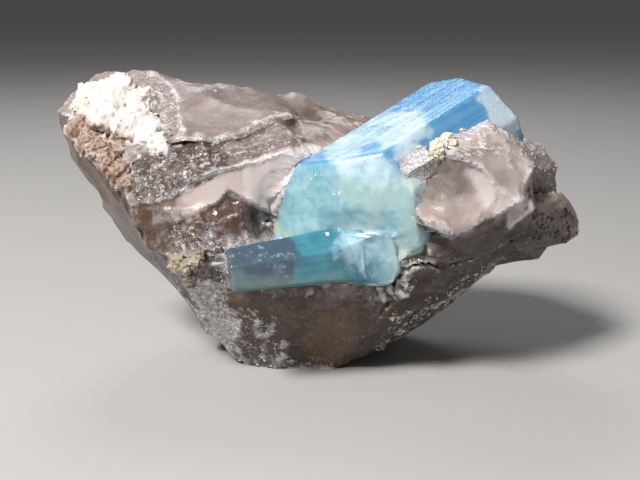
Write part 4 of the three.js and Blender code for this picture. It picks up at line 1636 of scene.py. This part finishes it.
def large_crystal() -> Crystal:
    """Describes the large aquamarine.

    Returns:
        A sky-blue crystal with a turquoise break.
    """
    return Crystal(
        "large_aquamarine", Slot.AQUAMARINE, "Large_aquamarine", 39.4, 21.0, 0.16,
        AquamarineFinish("sky aquamarine", (0.25, 0.61, 0.94), (0.12, 0.44, 0.88), (0.44, 0.70, 0.78)),
        clear=0.35, broken_clear=0.2,
        clouds=(
            Wash(((2.6, 5.6), (4.8, 5.0)), 0.6, 2.0, 0.7),
            Wash(((-1.4, 6.2), (3.4, 6.6), (6.4, 7.2)), 0.5, 1.2, 0.3),
            Wash(((1.5, 7.4), (3.5, 8.6), (7.0, 8.6)), 0.9, 1.4, 0.75),
            # Partly painted light: the far end is clouded bright, though it turns away from the key lamp.
            Wash(((13.4, 11.2), (14.4, 9.4)), 1.0, 0.8, 0.88),
            Wash(((6.6, 6.8), (8.8, 5.6), (7.4, 4.6)), 0.7, 0.8, 0.9),
            Wash(((3.6, 0.8), (5.6, -1.2)), 1.2, 1.0, 0.6),
            Wash(((7.4, 5.2), (8.2, 3.6), (8.0, 2.0)), 0.5, 0.5, 0.8),
        ),
        greens=(
            Wash(((2.4, 3.8), (3.2, 3.2), (5.6, 3.2)), 0.5, 0.9, 0.36),
            Wash(((6.9, 4.6), (7.4, 2.6), (6.9, 0.4), (6.5, -1.8), (5.6, -3.6)), 0.5, 0.9, 0.4),
            Wash(((-4.1, 1.6), (-3.4, 0.9), (-1.6, 0.1)), 0.2, 0.3, 0.9),
        ),
        creams=(
            Wash(((12.3, 11.3), (13.2, 10.9), (14.2, 9.6)), 0.15, 0.3, 0.15),
            Wash(((-4.0, 1.5), (-2.6, 0.5)), 0.08, 0.15, 0.8),
        ),
        frosts=(
            Wash(((1.0, 7.6), (4.2, 9.6), (9.0, 12.2)), 0.25, 0.4, 0.6),
            Wash(((9.6, 12.1), (12.8, 11.6), (14.0, 10.2)), 0.8, 0.8, 0.7),
            area((6.4, 5.2), (6.6, 7.0), (8.8, 7.0), (8.0, 5.4), strength=0.8),
        ),
        broken_areas=(
            Wash(((-1.0, 2.0), (6.0, 2.6), (6.4, 5.4), (8.8, 5.4), (8.8, 1.0), (8.2, -4.4), (-1.0, -4.4)),
                 0.0, 0.2, closed=True, through=True),
        ),
        thirds=(
            area((-0.6, -3.1), (5.4, -2.7), (6.9, -1.6), (7.0, -4.2), (-0.6, -4.2), fade=0.2, ragged=0.1),
        ),
    )


def small_crystal() -> Crystal:
    """Describes the small aquamarine.

    Returns:
        A grey-blue crystal that turns teal and fades into the large one at its far end.
    """
    return Crystal(
        "small_aquamarine", Slot.DARK_AQUAMARINE, "Small_aquamarine", 11.5, 5.5, 0.12,
        AquamarineFinish(
            "teal aquamarine", (0.10, 0.37, 0.46), (0.05, 0.26, 0.35), (0.46, 0.70, 0.76),
            (0.30, 0.56, 0.64), third=(0.085, 0.135, 0.185), cloud=(0.56, 0.79, 0.90),
            green=(0.28, 0.42, 0.36), cream=(0.42, 0.62, 0.65), ruled=0.45,
        ),
        clear=0.2, broken_clear=0.2, broken_end=False,
        clouds=(
            Wash(((2.4, -0.6), (3.4, -1.2), (5.4, -1.2)), 0.8, 1.2, 0.75),
            Wash(((5.4, -0.6), (6.2, -2.4)), 0.6, 1.2, 0.7),
            Wash(((-6.2, -0.9), (-5.4, -1.2)), 0.2, 0.6, 0.3),
            Wash(((-4.6, -1.5), (-3.6, -1.9), (-3.2, -2.6)), 0.2, 0.8, 0.32),
        ),
        cracks=(
            Wash(((2.4, -0.9), (3.6, -1.7), (5.6, -1.4)), 0.8, 1.2, 0.35),
        ),
        greens=(
            Wash(((-6.6, -3.0), (-4.7, -3.7), (-1.0, -3.5)), 0.2, 1.0, 0.55),
            Wash(((-1.0, -3.3), (1.6, -3.0)), 0.25, 0.4, 0.4),
        ),
        creams=(
            Wash(((6.3, 0.4), (6.8, -3.0)), 0.7, 0.9, 0.5),
        ),
        broken_areas=(
            Wash(((6.2, 0.4), (6.6, -3.4)), 0.7, 2.4, 0.95, through=True),
        ),
        frosts=(
            Wash(((-6.4, -1.0), (-4.6, -1.0), (-2.8, -1.9)), 0.8, 0.5, 0.4),
            Wash(((0.6, 0.5), (1.4, 0.75)), 0.15, 0.15, 1.0),
        ),
        thirds=(
            area((-7.4, 0.2), (-2.4, 0.4), (-1.9, -1.3), (-2.1, -2.4), (-3.0, -4.2), (-7.4, -4.2),
                 fade=0.45, ragged=0.35),
        ),
    )


@dataclass
class Crust:
    """A crust or grain of crumbly feldspar."""

    node: str
    slot: Slot
    name: str
    finish: FeldsparFinish
    spacing: float
    crumble: float
    lump: float
    rusts: tuple[Wash, ...] = ()
    sharp: float = 40.0  # edges that turn by more degrees than this are sharp

    def build(self) -> Skin:
        """Shapes the crust.

        Returns:
            Its surface, with its numbers for the finish.
        """
        piece = own_piece(self.name, solid_copy(self.node), self.finish.make(), self.node)
        skin = remeshed(piece, self.spacing)
        broad, fine = drift(skin.spots, self.lump, 2.0), drift(skin.spots, self.lump / 2, 5.0)
        lumps = np.abs(broad) + 0.7 * np.abs(fine)
        skin.push((lumps - 0.35) * self.crumble * 1.6)
        skin.keep_in(self.node)
        skin.write()
        skin.remember("rust", skin.weigh(self.rusts))
        skin.remember("dent", smooth_step(-skin.standing(4), 0.0, 0.06))
        skin.crease(self.sharp)
        return skin


def feldspar_crusts() -> list[Crust]:
    """The white patch, the cream seam and the three tan grains.

    Returns:
        The crusts, in the order in which they are built.
    """
    white = FeldsparFinish("white feldspar", (0.88, 0.84, 0.80), (0.80, 0.70, 0.62))
    cream = FeldsparFinish("cream feldspar", (0.90, 0.87, 0.78), (0.80, 0.73, 0.54))
    tan = FeldsparFinish("tan feldspar", (0.50, 0.44, 0.34), (0.20, 0.155, 0.10))
    grains = [
        Crust(f"feldspar_grain_{place}", Slot.CREAM_FELDSPAR, f"Feldspar_grain_{place}", tan, 0.1, 0.2, 0.3)
        for place in ("left", "middle", "lower")
    ]
    return [
        Crust("feldspar_patch", Slot.WHITE_FELDSPAR, "Feldspar_patch", white, 0.16, 0.2, 0.45, STAINED),
        Crust("feldspar_seam", Slot.CREAM_FELDSPAR, "Feldspar_seam", cream, 0.1, 0.3, 0.3),
        *grains,
    ]


# ---------------------------------------------------------------- studio


@dataclass(frozen=True)
class Lamp:
    """A soft square light that faces the stone; its place and size are in stone lengths."""

    name: str
    place: Place
    size: float
    power: float
    tint: Colour = (1.0, 1.0, 1.0)

    def build(self, middle: Vector, length: float) -> None:
        """Makes the light.

        Args:
            middle: the stone's middle in metres.
            length: the stone's length in metres.
        """
        light = bpy.data.lights.new(self.name, "AREA")
        light.size = self.size * length
        light.energy = self.power
        light.color = self.tint
        lamp = bpy.data.objects.new(self.name, light)
        offset = Vector(self.place) * length
        lamp.location = middle + offset
        lamp.rotation_euler = offset.to_track_quat("Z", "Y").to_euler()
        bpy.context.scene.collection.objects.link(lamp)


@dataclass(frozen=True)
class Studio:
    """The pale floor, the lights and the camera."""

    floor: Colour = (0.54, 0.53, 0.52)
    floor_size: float = 20.0  # in metres
    ambient: float = 0.10
    lamps: tuple[Lamp, ...] = (
        Lamp("key", (-2.6, -3.6, 5.0), 1.5, 0.97, (1.0, 0.98, 0.96)),
        Lamp("rim", (-0.8, 3.6, 4.6), 2.4, 0.11, (0.97, 0.98, 1.0)),
    )

    def build(self) -> None:
        """Makes the studio."""
        low, high = CAD_BOX
        self.lay_floor()
        for lamp in self.lamps:
            lamp.build((low + high) / 2, (high - low).x)
        self.light_room()
        self.aim_camera()

    def lay_floor(self) -> None:
        """Lays the plain pale floor."""
        made = bmesh.new()
        bmesh.ops.create_grid(made, x_segments=1, y_segments=1, size=self.floor_size)
        g = Graph("pale floor")
        tone = g.mix(g.noise(60.0, 2.0), self.floor, tuple(c * 0.97 for c in self.floor))
        g.finish(g.surface({"Base Color": tone, "Roughness": 0.7}))
        mesh = bpy.data.meshes.new("floor")
        made.to_mesh(mesh)
        made.free()
        mesh.materials.append(g.material)
        floor = bpy.data.objects.new("floor", mesh)
        bpy.context.scene.collection.objects.link(floor)

    def light_room(self) -> None:
        """Makes the even light of the room."""
        world = bpy.data.worlds.new("room")
        world.use_nodes = True
        background = world.node_tree.nodes["Background"]
        background.inputs["Color"].default_value = (1, 1, 1, 1)
        background.inputs["Strength"].default_value = self.ambient
        bpy.context.scene.world = world
        bpy.context.scene.view_settings.view_transform = "Standard"

    def aim_camera(self) -> None:
        """Makes the camera at the eye."""
        camera = bpy.data.cameras.new("camera")
        camera.lens = EYE.lens
        camera.clip_start, camera.clip_end = (reach * MM for reach in EYE.clip)
        eye = bpy.data.objects.new("camera", camera)
        eye.matrix_world = Matrix.Translation(EYE.place() * MM) @ EYE.turn()
        bpy.context.scene.collection.objects.link(eye)
        bpy.context.scene.camera = eye


# ---------------------------------------------------------------- the specimen


@dataclass
class Specimen:
    """The whole stone."""

    large: Crystal
    small: Crystal
    crusts: list[Crust]
    quartz: Quartz
    contact: float = 0.9  # the aquamarines are grown together where they are closer, in millimetres

    def build(self) -> None:
        """Builds every mineral in order and reports it."""
        large = self.large.build()
        small = self.small.build(large)
        gap, towards = large.gaps([small], self.contact * 2)
        large.draw_to(gap, towards, self.contact)
        self.large.mark(large)
        self.small.mark(small)
        crusts = [crust.build() for crust in self.crusts]
        quartz = self.quartz.build([large, small], crusts)
        for skin in [large, small, *crusts, quartz]:
            report(skin.piece)
        self.scatter(quartz, large, small)

    def scatter(self, quartz: Skin, large: Skin, small: Skin) -> None:
        """Scatters the loose grains and specks over the finished surfaces.

        Args:
            quartz: the lump's surface.
            large: the large crystal's surface.
            small: the small crystal's surface.
        """
        white = GrainFinish("white grains", (0.80, 0.76, 0.74), (0.60, 0.55, 0.52)).make()
        bright = GrainFinish("bright specks", (0.95, 0.97, 0.98), (0.85, 0.92, 0.95)).make()
        cream = GrainFinish("cream grains", (0.86, 0.82, 0.66), (0.70, 0.62, 0.44)).make()
        dark = GrainFinish("dark specks", (0.012, 0.010, 0.010), (0.03, 0.022, 0.018), 0.4).make()
        pale, creamy, smoky = Slot.WHITE_FELDSPAR, Slot.CREAM_FELDSPAR, Slot.SMOKY_QUARTZ
        grains = (
            (Crumbs("White_grains", pale, FROSTED, 1100, (0.02, 0.11), seed=5), quartz, white),
            (Crumbs("White_dust", pale, DUSTY + STREAKED, 800, (0.02, 0.08), seed=6), quartz, white),
            (Crumbs("Cream_grains", creamy, CREAMY, 90, (0.05, 0.22), seed=7), quartz, cream),
            (Crumbs("Dark_specks", smoky, SPECKED, 110, (0.05, 0.17), 0.45, 0.5, 8), quartz, dark),
            (Crumbs("Dark_dots", smoky, DOTTED, 5, (0.08, 0.12), 0.3, 0.5, 9), quartz, dark),
            (Crumbs("Bright_specks", pale, BRIGHT, 34, (0.02, 0.07), 0.3, 0.5, 10), large, bright),
            (Crumbs("White_chip", pale, CHIPPED, 14, (0.04, 0.1), 0.3, 0.5, 11), small, bright),
        )
        for crumbs, skin, material in grains:
            report(crumbs.build(skin, material))


def report(piece: bpy.types.Object) -> None:
    """Logs a finished piece's name and size."""
    LOG.info("%s: %d triangles", piece.name, sum(len(p.vertices) - 2 for p in piece.data.polygons))


def main() -> None:
    """Builds the studio and the specimen."""
    logging.basicConfig(level=logging.INFO, format="%(name)s: %(message)s")
    Studio().build()
    Specimen(large_crystal(), small_crystal(), feldspar_crusts(), Quartz()).build()


if __name__ == "__main__":
    main()
